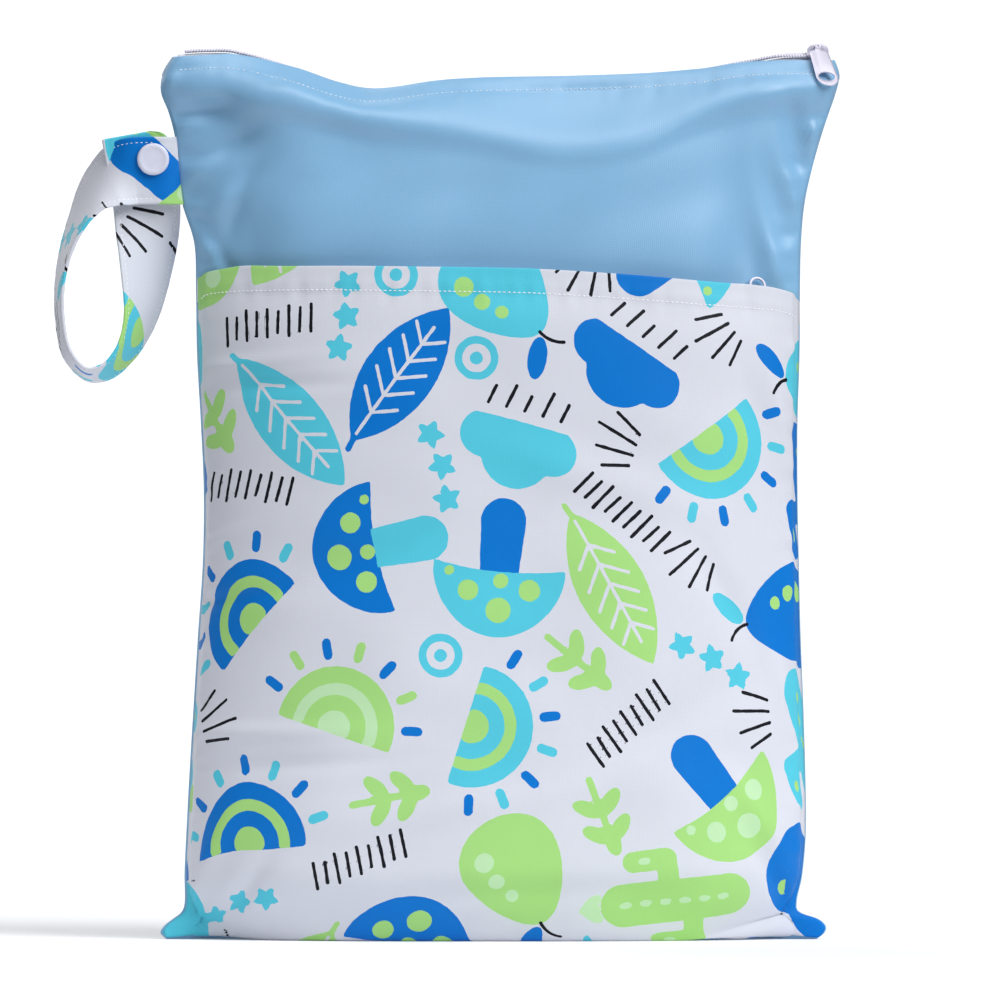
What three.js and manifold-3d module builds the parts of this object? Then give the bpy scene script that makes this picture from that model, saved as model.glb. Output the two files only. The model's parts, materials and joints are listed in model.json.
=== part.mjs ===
// A cloth wet bag: a zipped main bag, a dry pocket on its front with a zip of its own, and a strap
// that snaps into a loop at the left side seam.
// Millimetres. +Z is up, the front faces -Y, +X is to the right, and the bag stands on z = 0.
import * as THREE from "three";
import { mergeVertices } from "three/addons/utils/BufferGeometryUtils.js";
import Module from "manifold-3d";

const wasm = await Module();
wasm.setup();

const { lerp, smoothstep, degToRad } = THREE.MathUtils;

// Clearance that neighbouring pieces keep.
const GAP = 0.3;

const BAG = {
  halfWidth: 150, // middle of the top hem to a top corner
  height: 392.5, // floor to the top hem's highest point
  frontDepth: 42, // side seams to the front panel's fullest point
  backDepth: 40, // side seams to the back panel's fullest point
  wall: 1.2, // laminated cloth with its turned edges
  hemDip: 15, // how far the top hem sags between its corners
  brow: 28, // height of the band that leans back to the zip
  seamShift: 6, // how far the bottom seam lies behind the middle of the sole
  seamPull: 26, // height over which the top corners open to take the zip
  dipFrom: 0.78, // share of the height from which the rows follow the dip of the hem
  browReach: 1.35, // height over which a panel leans back to the zip, in brows
  browRound: 1.5, // power that rounds that lean
  lens: 3, // power of the curve from the fullest middle to a side seam
  soleFlat: 0.62, // share of the half width over which the sole lies flat
  seamFlat: 0.94, // share of the half width from which the panels are pressed flat together
};

const TOP_ZIP = {
  coilWidth: 3.8,
  coilThick: 1.8,
  tape: 1, // tape thickness
  tapeSpan: 0.985, // share of the half width that the tapes reach to
  coilSpan: 0.965, // share of the half width where the coil starts
  pastSlider: 0.015, // how far the coil reaches past the slider, as a share of the half width
  edge: 0.2, // half the slit between the two tapes
  hem: 0.4, // clearance from the coil to each hem
  clear: 0.8, // clearance from each tape to its panel
  roll: degToRad(35), // how far the slider rolls the coil towards the front
  rollReach: 22, // length of coil that rolls with the slider
  sliderFromCorner: 7.5, // right top corner to the middle of the slider
  peek: 1.9, // how far the coil rises past the hem beside the slider
  sink: 1.2, // how far it lies below the hem along the middle
};

const POCKET = {
  height: 297.5, // floor to the highest point of its hem
  hemFall: 15, // how far its hem is lower at the right side seam
  side: 0.6, // clearance to the front panel along its sides and foot
  stand: 9.2, // how much further it stands off the front panel
  hemStand: 6.4, // the same along its top edge
  wall: 1.2,
  hem: 10, // height of the folded hem
  hemWall: 2.4, // the hem is two layers
  rise: 34, // height over which it closes on the front panel at its foot
  boxy: 14, // power of the curve by which it meets the front panel along its sides
  leftSpan: 0.985, // shares of the half width that it reaches to
  rightSpan: 0.995,
  footRow: 4.1, // rows of its foot, in the middle and at the side seams
  footRowSide: 0.5,
};

const POCKET_ZIP = {
  below: 16, // coil to the edge of the pocket's hem
  coilWidth: 3.6,
  coilThick: 1.6,
  tape: 1,
  tapeReach: 9, // how far each tape reaches from the coil
  edge: 0.2,
  clear: 0.5, // clearance to the front panel
  span: 0.93, // share of the half width that it reaches to
  sliderAt: 0.75, // its slider's place across the bag, as a share of the half width
};

const STRAP = {
  width: 30,
  thick: 1.6, // two layers of cloth, stitched together
  reach: 55, // side seam to the loop's far edge
  drop: 108, // top of the strap to the bottom of the loop
  belowTop: 52, // top of the bag to the strap's middle where it is sewn in
};

const SNAP = {
  capRadius: 7.1,
  capThick: 1.9,
  ringRadius: 5,
  ringThick: 0.6,
  fromSeam: 11, // side seam to the snap's centre
  aboveStrap: 5, // strap's middle to the snap's centre
};

// A slider: a plate with two lips that hook round the coil, and a crown whose beam carries the pull.
const SLIDER = {
  length: 9.6,
  tail: 2.3, // half width at its narrow end
  shoulder: 3.3, // half width at its wide end
  plate: 0.9,
  lip: 0.8,
  beam: 1.2, // thickness of the crown, both ways
  crownLength: 9.2,
  eyeLength: 3.4, // opening under the beam
  eyeHeight: 1.5,
  shoulderFrom: 0.2, // the plate's full width, as shares of its half length
  shoulderTo: 0.8,
  lipLength: 0.55, // share of the length that the lips cover
  lipAt: 0.3, // middle of the lips, as a share of the half length
  lipClear: 0.1, // clearance from the lips' edge to the coil's middle plane
  crownRound: 0.86, // where the crown's curve turns, as a share of its half length
  eyeFoot: 1.15, // the eye at its foot, next to its top
};

const PULL = {
  knuckle: 1.75, // outer radius of the ring that goes round the beam
  knuckleBore: 1.15,
  knuckleWidth: 2.6,
  thick: 1.2,
  length: 18.7, // beam's axis to the far end
  neck: 4, // beam's axis to where the tab is at its full width
  topHalf: 4.2,
  endHalf: 4.8,
  corner: 2,
  holeHalfLength: 3.5,
  holeHalfHeight: 2.15,
  holeFromEnd: 4.2,
  lean: degToRad(22), // how far it hangs out from the vertical
  slant: degToRad(17), // how far it hangs to the right
};

const RING_PULL = {
  scale: 0.78, // its slider, next to the top one
  thick: 1.1,
  stroke: 1.1,
  ringRadius: 4,
  length: 20.6, // beam's axis to the far side of the ring
  stemHalf: 0.9,
  lean: degToRad(12), // how far it leans back to the front panel
};

// The body's rows, from the bottom seam up. Heights (rim at the side seams, mid in the middle) are
// shares of BAG.height, left and right of BAG.halfWidth, front and back of the two depths. Pinch is
// the share of the half width where the two panels part.
const ROWS = [
  { rim: 0.0, mid: 0.0, left: 0.985, right: 0.935, front: 0.0, back: 0.0, pinch: 0.9 },
  { rim: 0.007, mid: 0.0, left: 1.003, right: 0.958, front: 0.3, back: 0.33, pinch: 0.9 },
  { rim: 0.015, mid: 0.0, left: 0.992, right: 0.963, front: 0.53, back: 0.57, pinch: 0.9 },
  { rim: 0.023, mid: 0.0, left: 0.966, right: 0.94, front: 0.7, back: 0.73, pinch: 0.91 },
  { rim: 0.031, mid: 0.006, left: 0.94, right: 0.884, front: 0.81, back: 0.84, pinch: 0.93 },
  { rim: 0.044, mid: 0.022, left: 0.931, right: 0.877, front: 0.88, back: 0.91, pinch: 0.96 },
  { rim: 0.075, mid: 0.058, left: 0.932, right: 0.894, front: 0.94, back: 0.96, pinch: 0.99 },
  { rim: 0.125, mid: 0.115, left: 0.926, right: 0.904, front: 0.98, back: 0.99, pinch: 1 },
  { rim: 0.19, mid: 0.185, left: 0.917, right: 0.902, front: 1.0, back: 1.0, pinch: 1 },
  { rim: 0.265, mid: 0.265, left: 0.905, right: 0.896, front: 1.0, back: 1.0, pinch: 1 },
  { rim: 0.345, mid: 0.345, left: 0.892, right: 0.888, front: 0.99, back: 0.98, pinch: 1 },
  { rim: 0.425, mid: 0.425, left: 0.878, right: 0.883, front: 0.97, back: 0.95, pinch: 1 },
  { rim: 0.505, mid: 0.505, left: 0.875, right: 0.879, front: 0.94, back: 0.91, pinch: 1 },
  { rim: 0.585, mid: 0.585, left: 0.884, right: 0.879, front: 0.9, back: 0.85, pinch: 1 },
  { rim: 0.66, mid: 0.66, left: 0.895, right: 0.885, front: 0.85, back: 0.78, pinch: 1 },
  { rim: 0.73, mid: 0.73, left: 0.898, right: 0.886, front: 0.79, back: 0.7, pinch: 1 },
  { rim: 0.785, mid: 0.785, left: 0.903, right: 0.889, front: 0.74, back: 0.63, pinch: 1 },
  { rim: 0.83, mid: 0.83, left: 0.938, right: 0.899, front: 0.69, back: 0.56, pinch: 1 },
  { rim: 0.87, mid: 0.87, left: 0.951, right: 0.92, front: 0.64, back: 0.5, pinch: 1 },
  { rim: 0.905, mid: 0.905, left: 0.959, right: 0.944, front: 0.59, back: 0.45, pinch: 1 },
  { rim: 0.935, mid: 0.935, left: 0.978, right: 0.968, front: 0.55, back: 0.41, pinch: 1 },
  { rim: 0.96, mid: 0.96, left: 1.002, right: 0.99, front: 0.52, back: 0.38, pinch: 1 },
  { rim: 0.982, mid: 0.982, left: 0.994, right: 1.002, front: 0.5, back: 0.36, pinch: 1 },
  { rim: 1.0, mid: 1.0, left: 0.965, right: 0.988, front: 0.48, back: 0.34, pinch: 1 },
];

// The top edge: across is a share of the half width, dip of BAG.hemDip, brow of BAG.brow, and
// peek of TOP_ZIP.peek above the hem or, where it is negative, of TOP_ZIP.sink below it.
const HEM = [
  { across: -1.0, dip: 0.09, brow: 0.35, peek: 1 },
  { across: -0.9, dip: 0.03, brow: 0.45, peek: 0.9 },
  { across: -0.8, dip: 0.02, brow: 0.55, peek: 0.3 },
  { across: -0.62, dip: 0.41, brow: 0.4, peek: -1 },
  { across: -0.48, dip: 0.86, brow: 0.35, peek: -1 },
  { across: -0.38, dip: 1.0, brow: 0.4, peek: -1 },
  { across: -0.2, dip: 0.77, brow: 0.62, peek: -1 },
  { across: -0.06, dip: 0.68, brow: 0.75, peek: -1 },
  { across: 0.2, dip: 0.64, brow: 0.98, peek: -1 },
  { across: 0.43, dip: 0.56, brow: 0.9, peek: -1 },
  { across: 0.6, dip: 0.42, brow: 0.6, peek: -1 },
  { across: 0.72, dip: 0.24, brow: 0.48, peek: -0.4 },
  { across: 0.84, dip: 0.18, brow: 0.4, peek: 0.9 },
  { across: 1.0, dip: 0.2, brow: 0.35, peek: 1 },
];

// The pocket's top edge: fall is a share of POCKET.hemFall.
const POCKET_HEM = [
  { across: -1.0, fall: 0.32 },
  { across: -0.93, fall: 0.12 },
  { across: -0.84, fall: 0.04 },
  { across: -0.6, fall: 0.0 },
  { across: -0.3, fall: 0.03 },
  { across: 0.1, fall: 0.09 },
  { across: 0.42, fall: 0.26 },
  { across: 0.7, fall: 0.46 },
  { across: 0.88, fall: 0.58 },
  { across: 0.97, fall: 0.78 },
  { across: 1.0, fall: 1.0 },
];

// Broad dents and folds: across and up say where, as shares of the half width and the height,
// turn is the fold's angle from upright, long and wide are shares of the half width, and deep is a
// share of its panel's depth, negative for a hollow.
const FOLDS = [
  { side: -1, across: -0.86, up: 0.93, turn: -50, long: 0.2, wide: 0.09, deep: -0.1 },
  { side: -1, across: -0.8, up: 0.8, turn: 35, long: 0.22, wide: 0.09, deep: -0.08 },
  { side: -1, across: 0.87, up: 0.86, turn: -18, long: 0.3, wide: 0.09, deep: 0.08 },
  { side: -1, across: 0.78, up: 0.75, turn: 8, long: 0.25, wide: 0.08, deep: -0.07 },
  { side: -1, across: -0.3, up: 0.3, turn: 62, long: 0.5, wide: 0.16, deep: 0.04 },
  { side: -1, across: 0.4, up: 0.5, turn: -70, long: 0.5, wide: 0.16, deep: -0.04 },
  { side: 1, across: -0.7, up: 0.85, turn: 40, long: 0.3, wide: 0.11, deep: -0.12 },
  { side: 1, across: 0.65, up: 0.78, turn: -35, long: 0.35, wide: 0.12, deep: -0.12 },
  { side: 1, across: 0.1, up: 0.55, turn: 75, long: 0.6, wide: 0.14, deep: -0.08 },
  { side: 1, across: -0.45, up: 0.25, turn: 25, long: 0.4, wide: 0.13, deep: -0.06 },
];

// The strap's route from the side seam, round the loop and up behind its own start. out is a share
// of STRAP.reach, rise of STRAP.drop and back of STRAP.width. wx, wy and wz point across the strap.
const STRAP_ROUTE = [
  { out: 0.0, rise: 0.0, back: -0.03, wx: 0, wy: 0, wz: 1 },
  { out: 0.11, rise: 0.0, back: -0.073, wx: 0, wy: 0, wz: 1 },
  { out: 0.24, rise: 0.0, back: -0.073, wx: 0, wy: 0, wz: 1 },
  { out: 0.38, rise: -0.004, back: -0.073, wx: -0.02, wy: 0.06, wz: 0.99 },
  { out: 0.53, rise: -0.03, back: -0.03, wx: -0.2, wy: 0.45, wz: 0.86 },
  { out: 0.67, rise: -0.09, back: 0.05, wx: -0.33, wy: 0.8, wz: 0.48 },
  { out: 0.8, rise: -0.2, back: 0.09, wx: -0.24, wy: 0.94, wz: 0.2 },
  { out: 0.905, rise: -0.34, back: 0.1, wx: -0.17, wy: 0.98, wz: 0.06 },
  { out: 0.953, rise: -0.486, back: 0.1, wx: -0.13, wy: 0.99, wz: 0 },
  { out: 0.945, rise: -0.626, back: 0.1, wx: -0.12, wy: 0.99, wz: -0.03 },
  { out: 0.89, rise: -0.75, back: 0.1, wx: -0.1, wy: 0.98, wz: -0.12 },
  { out: 0.745, rise: -0.832, back: 0.1, wx: 0, wy: 0.98, wz: -0.18 },
  { out: 0.58, rise: -0.825, back: 0.11, wx: 0.1, wy: 0.97, wz: -0.2 },
  { out: 0.455, rise: -0.77, back: 0.12, wx: 0.22, wy: 0.96, wz: -0.14 },
  { out: 0.355, rise: -0.685, back: 0.13, wx: 0.34, wy: 0.93, wz: -0.1 },
  { out: 0.283, rise: -0.56, back: 0.14, wx: 0.52, wy: 0.85, wz: -0.06 },
  { out: 0.25, rise: -0.37, back: 0.15, wx: 0.79, wy: 0.61, wz: 0 },
  { out: 0.243, rise: -0.25, back: 0.14, wx: 0.93, wy: 0.36, wz: 0.04 },
  { out: 0.25, rise: -0.135, back: 0.1, wx: 0.985, wy: 0.12, wz: 0.12 },
  { out: 0.29, rise: 0.0, back: 0.056, wx: 0.98, wy: 0, wz: 0.2 },
  { out: 0.343, rise: 0.152, back: 0.056, wx: 0.98, wy: 0, wz: 0.2 },
];

const FRONT = -1;
const BACK = 1;
const COLUMNS = 22;
const POCKET_ROWS = 20;
const STRAP_STEPS = 44;
const STRAP_COLUMNS = 3;
const TOP_ROW = ROWS.length - 1;
const SOLE_ROWS = 3; // the rows that lie on the floor
const FOLDS_FROM = 4; // rows over which the folds begin
const FOLDS_FULL = 8;
const BACK_BROW = 0.8; // lean of the back panel, as a share of BAG.brow
const FINE_FROM = TOP_ROW - 4; // half rows from here up, where the panels lean back to the zip
const BODY_ROWS = [
  ...Array.from({ length: FINE_FROM }, (_, i) => i),
  ...Array.from({ length: 2 * (TOP_ROW - FINE_FROM) + 1 }, (_, i) => FINE_FROM + i / 2),
];
const TAPE_ROWS = BODY_ROWS.slice(-4).reverse(); // the top tapes reach down this far

// Value of a table's column at a fractional row, on a smooth curve through the rows.
function along(table, key, at) {
  const last = table.length - 1;
  const i = Math.min(Math.max(Math.floor(at), 0), last - 1);
  const f = at - i;
  const value = (k) => table[Math.min(Math.max(k, 0), last)][key];
  const [a, b, c, d] = [value(i - 1), value(i), value(i + 1), value(i + 2)];
  return b + 0.5 * f * (c - a + f * (2 * a - 5 * b + 4 * c - d + f * (3 * (b - c) + d - a)));
}

// Value of a table's column at a place across the bag.
function across(table, key, s) {
  const last = table.length - 1;
  let i = 0;
  while (i < last - 1 && table[i + 1].across < s) i += 1;
  const f = (s - table[i].across) / (table[i + 1].across - table[i].across);
  return along(table, key, i + Math.min(Math.max(f, 0), 1));
}

const hemHeight = (s) => BAG.height - BAG.hemDip * across(HEM, "dip", s);
const pocketHeight = (s) => POCKET.height - POCKET.hemFall * across(POCKET_HEM, "fall", s);
const hemHalf = TOP_ZIP.coilWidth / 2 + TOP_ZIP.hem + BAG.wall;

// Depth that the folds add to a panel at a place on it.
function foldDepth(side, s, up) {
  const depth = side === FRONT ? BAG.frontDepth : BAG.backDepth;
  const tall = BAG.height / BAG.halfWidth;
  let sum = 0;
  for (const fold of FOLDS.filter((f) => f.side === side)) {
    const turn = degToRad(fold.turn);
    const dx = s - fold.across;
    const dz = (up - fold.up) * tall;
    const lengthwise = (dz * Math.cos(turn) + dx * Math.sin(turn)) / fold.long;
    const sideways = (dx * Math.cos(turn) - dz * Math.sin(turn)) / fold.wide;
    sum += depth * fold.deep * Math.exp(-lengthwise * lengthwise - sideways * sideways);
  }
  return sum;
}

// How much of the sole's flat middle a place across the bag belongs to.
const soleShare = (s) => 1 - smoothstep(Math.abs(s), BAG.soleFlat, 1);

// Plane where the two panels meet, which lies further back under the sole.
const seamPlane = (s, row) => BAG.seamShift * soleShare(s) * (1 - smoothstep(row, 0, SOLE_ROWS));

// Point on the outer skin of the front or back panel. s runs from -1 at the left side seam to 1 at
// the right one, and row is a fractional row of ROWS.
function skin(side, s, row) {
  const left = along(ROWS, "left", row) * BAG.halfWidth;
  const right = along(ROWS, "right", row) * BAG.halfWidth;
  const middle = soleShare(s);
  const rise = lerp(along(ROWS, "rim", row), along(ROWS, "mid", row), middle);
  const dip = BAG.height - hemHeight(s);
  const z = BAG.height * Math.max(rise, 0) - dip * smoothstep(rise, BAG.dipFrom, 1);
  const below = Math.max(hemHeight(s) - z, 0);
  const brow = BAG.brow * (side === FRONT ? across(HEM, "brow", s) : BACK_BROW);
  const closing = 1 - Math.pow(1 - Math.min(below / (BAG.browReach * brow), 1), BAG.browRound);
  const swell = Math.min(Math.abs(s) / along(ROWS, "pinch", row), 1);
  const lens = 1 - Math.pow(swell, BAG.lens);
  const full = side === FRONT ? BAG.frontDepth : BAG.backDepth;
  const depth = full * along(ROWS, side === FRONT ? "front" : "back", row);
  const begun = smoothstep(row, FOLDS_FROM, FOLDS_FULL);
  const folded = foldDepth(side, s, rise) * Math.min(2 * lens, 1) * begun;
  const pulled = 1 - smoothstep(below, 0, BAG.seamPull);
  const seam = lerp(GAP / 2 + BAG.wall * (1 - middle), hemHalf, pulled);
  const y = side * (seam + Math.max(depth * lens + folded, 0) * closing) + seamPlane(s, row);
  return new THREE.Vector3((right - left) / 2 + (s * (right + left)) / 2, y, z);
}

// Direction that the outer skin faces. At the side seams the two panels are pressed flat together.
function facing(side, s, row) {
  const small = 1e-3;
  const ds = skin(side, Math.min(s + small, 1), row).sub(skin(side, Math.max(s - small, -1), row));
  const up = skin(side, s, Math.min(row + small, TOP_ROW));
  const normal = ds.cross(up.sub(skin(side, s, Math.max(row - small, 0)))).multiplyScalar(-side);
  const flat = new THREE.Vector3(0, side, 0);
  return normal.normalize().lerp(flat, smoothstep(Math.abs(s), BAG.seamFlat, 1)).normalize();
}

// Point at a distance outside a panel's outer skin, or inside it where that is negative.
const offSkin = (side, s, row, out) => facing(side, s, row).multiplyScalar(out).add(skin(side, s, row));

// Row of a panel where its skin is at a height.
function rowAt(side, s, z) {
  let [low, high] = [SOLE_ROWS, TOP_ROW];
  for (let k = 0; k < 30; k += 1) {
    const middle = (low + high) / 2;
    if (skin(side, s, middle).z < z) low = middle;
    else high = middle;
  }
  return (low + high) / 2;
}

// Places across the bag, closer together towards the side seams.
function places(count, from, to) {
  return Array.from({ length: count + 1 }, (_, i) => {
    const even = (2 * i) / count - 1;
    const eased = 0.62 * even + 0.38 * Math.sin((even * Math.PI) / 2);
    return lerp(from, to, (eased + 1) / 2);
  });
}

// Closed solid between two skins of points, joined round their edges.
function shell(outer, inner) {
  const rows = outer.length;
  const columns = outer[0].length;
  const points = [...outer.flat(), ...inner.flat()];
  const at = (layer, r, c) => (layer * rows + r) * columns + c;
  const index = [];
  const quad = (a, b, c, d) => index.push(a, b, c, a, c, d);
  for (let r = 0; r < rows - 1; r += 1)
    for (let c = 0; c < columns - 1; c += 1) {
      quad(at(0, r, c), at(0, r, c + 1), at(0, r + 1, c + 1), at(0, r + 1, c));
      quad(at(1, r, c), at(1, r + 1, c), at(1, r + 1, c + 1), at(1, r, c + 1));
    }
  for (let c = 0; c < columns - 1; c += 1) {
    quad(at(0, 0, c + 1), at(0, 0, c), at(1, 0, c), at(1, 0, c + 1));
    quad(at(0, rows - 1, c), at(0, rows - 1, c + 1), at(1, rows - 1, c + 1), at(1, rows - 1, c));
  }
  for (let r = 0; r < rows - 1; r += 1) {
    quad(at(0, r, 0), at(0, r + 1, 0), at(1, r + 1, 0), at(1, r, 0));
    quad(at(0, r + 1, columns - 1), at(0, r, columns - 1), at(1, r, columns - 1), at(1, r + 1, columns - 1));
  }
  let volume = 0;
  for (let i = 0; i < index.length; i += 3) {
    const [a, b, c] = [points[index[i]], points[index[i + 1]], points[index[i + 2]]];
    volume += a.dot(new THREE.Vector3().crossVectors(b, c));
  }
  if (volume < 0)
    for (let i = 0; i < index.length; i += 3)
      [index[i + 1], index[i + 2]] = [index[i + 2], index[i + 1]];
  return new THREE.BufferGeometry().setFromPoints(points).setIndex(index);
}

// Manifold solid of a closed geometry, and the geometry of a manifold solid.
function solidOf(geometry) {
  const bare = geometry.index ? geometry.toNonIndexed() : geometry.clone();
  for (const name of Object.keys(bare.attributes)) if (name !== "position") bare.deleteAttribute(name);
  const merged = mergeVertices(bare, 1e-4);
  return new wasm.Manifold(
    new wasm.Mesh({
      numProp: 3,
      vertProperties: merged.attributes.position.array,
      triVerts: new Uint32Array(merged.index.array),
    }),
  );
}

function geometryOf(solid) {
  const mesh = solid.getMesh();
  const points = new Float32Array(mesh.numVert * 3);
  for (let i = 0; i < mesh.numVert; i += 1)
    points.set(mesh.vertProperties.subarray(i * mesh.numProp, i * mesh.numProp + 3), i * 3);
  return new THREE.BufferGeometry()
    .setAttribute("position", new THREE.BufferAttribute(points, 3))
    .setIndex(new THREE.BufferAttribute(mesh.triVerts, 1));
}

const joined = (geometries) => geometryOf(geometries.map(solidOf).reduce((a, b) => a.add(b)));

const extruded = (shape, depth, curveSegments = 8) =>
  new THREE.ExtrudeGeometry(shape, { depth, bevelEnabled: false, curveSegments });

// Front or back panel of the bag.
function panel(side) {
  const columns = places(COLUMNS, -1, 1);
  const outer = BODY_ROWS.map((row) => columns.map((s) => skin(side, s, row)));
  const inner = BODY_ROWS.map((row) =>
    columns.map((s) => {
      const point = offSkin(side, s, row, -BAG.wall);
      point.y = side * Math.max(side * (point.y - seamPlane(s, row)), GAP / 2) + seamPlane(s, row);
      point.z = Math.max(point.z, 0);
      return point;
    }),
  );
  return shell(outer, inner);
}

// Distance from the front panel's skin to the pocket's inner side.
function pocketStand(s, z) {
  const sides = 1 - Math.pow(Math.abs(s), POCKET.boxy);
  const foot = smoothstep(z, 0, POCKET.rise);
  const underHem = smoothstep(pocketHeight(s) - z, 0, POCKET.hem + POCKET_ZIP.below);
  return POCKET.side + sides * foot * lerp(POCKET.hemStand, POCKET.stand, underHem);
}

function pocketPanel() {
  const columns = places(COLUMNS, -POCKET.leftSpan, POCKET.rightSpan);
  const grid = Array.from({ length: POCKET_ROWS + 1 }, (_, i) =>
    columns.map((s) => {
      const foot = lerp(POCKET.footRowSide, POCKET.footRow, soleShare(s));
      const top = rowAt(FRONT, s, pocketHeight(s));
      const hemFoot = rowAt(FRONT, s, pocketHeight(s) - POCKET.hem);
      const below = POCKET_ROWS - 2;
      const row = i <= below ? lerp(foot, hemFoot, i / below) : lerp(hemFoot, top, (i - below) / 2);
      return { s, row, hem: i > below, stand: pocketStand(s, skin(FRONT, s, row).z) };
    }),
  );
  const out = (p) => (p.hem ? p.stand + POCKET.hemWall : p.stand + POCKET.wall);
  const inner = grid.map((line) => line.map((p) => offSkin(FRONT, p.s, p.row, p.stand)));
  const outer = grid.map((line) => line.map((p) => offSkin(FRONT, p.s, p.row, out(p))));
  return shell(outer, inner);
}

// The top zip's line, how far it is rolled, and the place of its slider.
const topCorner = skin(FRONT, 1, TOP_ROW).x;
const sliderX = topCorner - TOP_ZIP.sliderFromCorner;
const sliderPlace = sliderX / topCorner;

function zipCentre(s) {
  const peek = across(HEM, "peek", s);
  const lift = peek > 0 ? peek * TOP_ZIP.peek : peek * TOP_ZIP.sink;
  return new THREE.Vector3(skin(FRONT, s, TOP_ROW).x, 0, hemHeight(s) + lift);
}

const zipRoll = (s) =>
  TOP_ZIP.roll * smoothstep(zipCentre(s).x, sliderX - TOP_ZIP.rollReach, sliderX - SLIDER.length / 2);

function besideZip(s, y, z) {
  const turned = new THREE.Vector3(0, y, z).applyAxisAngle(new THREE.Vector3(1, 0, 0), zipRoll(s));
  return turned.add(zipCentre(s));
}

function topCoil() {
  const half = TOP_ZIP.coilWidth / 2;
  const high = TOP_ZIP.coilThick / 2;
  const line = places(COLUMNS, -TOP_ZIP.coilSpan, sliderPlace + TOP_ZIP.pastSlider);
  const skinOf = (way) =>
    [-1, 0, 1].map((v) => line.map((s) => besideZip(s, v * half, way * high * (v === 0 ? 1 : 0.5))));
  return shell(skinOf(1), skinOf(-1));
}

// A top tape: from under the coil, over to its panel and down the panel's inner side.
function topTape(side) {
  const line = places(COLUMNS, -TOP_ZIP.tapeSpan, TOP_ZIP.tapeSpan);
  const under = -TOP_ZIP.coilThick / 2 - GAP;
  const behind = (s, row, deep) => offSkin(side, s, row, -BAG.wall - TOP_ZIP.clear - deep);
  const layer = (deep) => [
    line.map((s) => besideZip(s, side * TOP_ZIP.edge, under - deep)),
    line.map((s) => behind(s, TAPE_ROWS[0], deep).lerp(behind(s, TAPE_ROWS[1], deep), 0.4)),
    ...TAPE_ROWS.slice(1).map((row) => line.map((s) => behind(s, row, deep))),
  ];
  return shell(layer(0), layer(TOP_ZIP.tape));
}

// A slider in its own frame: x along the coil, z away from it, the origin in the coil's middle.
function sliderGeometry(coilWidth, coilThick) {
  const plateFoot = coilThick / 2 + GAP;
  const plateTop = plateFoot + SLIDER.plate;
  const half = SLIDER.length / 2;
  const outline = new THREE.Shape();
  outline.moveTo(-half, -SLIDER.tail);
  outline.lineTo(half * SLIDER.shoulderFrom, -SLIDER.shoulder);
  outline.lineTo(half * SLIDER.shoulderTo, -SLIDER.shoulder);
  outline.quadraticCurveTo(half, -SLIDER.shoulder, half, -SLIDER.tail);
  outline.lineTo(half, SLIDER.tail);
  outline.quadraticCurveTo(half, SLIDER.shoulder, half * SLIDER.shoulderTo, SLIDER.shoulder);
  outline.lineTo(half * SLIDER.shoulderFrom, SLIDER.shoulder);
  outline.lineTo(-half, SLIDER.tail);
  outline.closePath();
  const plate = extruded(outline, SLIDER.plate, 4).translate(0, 0, plateFoot);

  const lipHigh = plateFoot + SLIDER.plate / 2 - SLIDER.lipClear;
  const lips = [-1, 1].map((way) => {
    const lip = new THREE.BoxGeometry(SLIDER.length * SLIDER.lipLength, SLIDER.lip, lipHigh);
    const y = way * (coilWidth / 2 + GAP + SLIDER.lip / 2);
    return lip.translate(half * SLIDER.lipAt, y, SLIDER.lipClear + lipHigh / 2);
  });

  const crownTop = SLIDER.eyeHeight + SLIDER.beam;
  const long = SLIDER.crownLength / 2;
  const eye = SLIDER.eyeLength / 2;
  const sink = SLIDER.plate / 2;
  const arch = new THREE.Shape();
  arch.moveTo(-long, -sink);
  arch.lineTo(-long, 0);
  arch.quadraticCurveTo(-long * SLIDER.crownRound, crownTop, -eye, crownTop);
  arch.lineTo(eye, crownTop);
  arch.quadraticCurveTo(long * SLIDER.crownRound, crownTop, long, 0);
  arch.lineTo(long, -sink);
  arch.lineTo(eye * SLIDER.eyeFoot, -sink);
  arch.lineTo(eye, SLIDER.eyeHeight);
  arch.lineTo(-eye, SLIDER.eyeHeight);
  arch.lineTo(-eye * SLIDER.eyeFoot, -sink);
  arch.closePath();
  const crown = extruded(arch, SLIDER.beam, 5).translate(0, 0, -SLIDER.beam / 2);
  crown.rotateX(Math.PI / 2).translate(0, 0, plateTop);
  return joined([plate, ...lips, crown]);
}

const beamHeight = (coilThick) =>
  coilThick / 2 + GAP + SLIDER.plate + SLIDER.eyeHeight + SLIDER.beam / 2;

// The ring of a pull that goes round the slider's beam, along x.
function knuckleGeometry() {
  const ring = new THREE.Shape().absarc(0, 0, PULL.knuckle, 0, 2 * Math.PI);
  ring.holes.push(new THREE.Path().absarc(0, 0, PULL.knuckleBore, 0, 2 * Math.PI, true));
  const solid = extruded(ring, PULL.knuckleWidth, 8).translate(0, 0, -PULL.knuckleWidth / 2);
  return solid.rotateY(Math.PI / 2);
}

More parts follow.
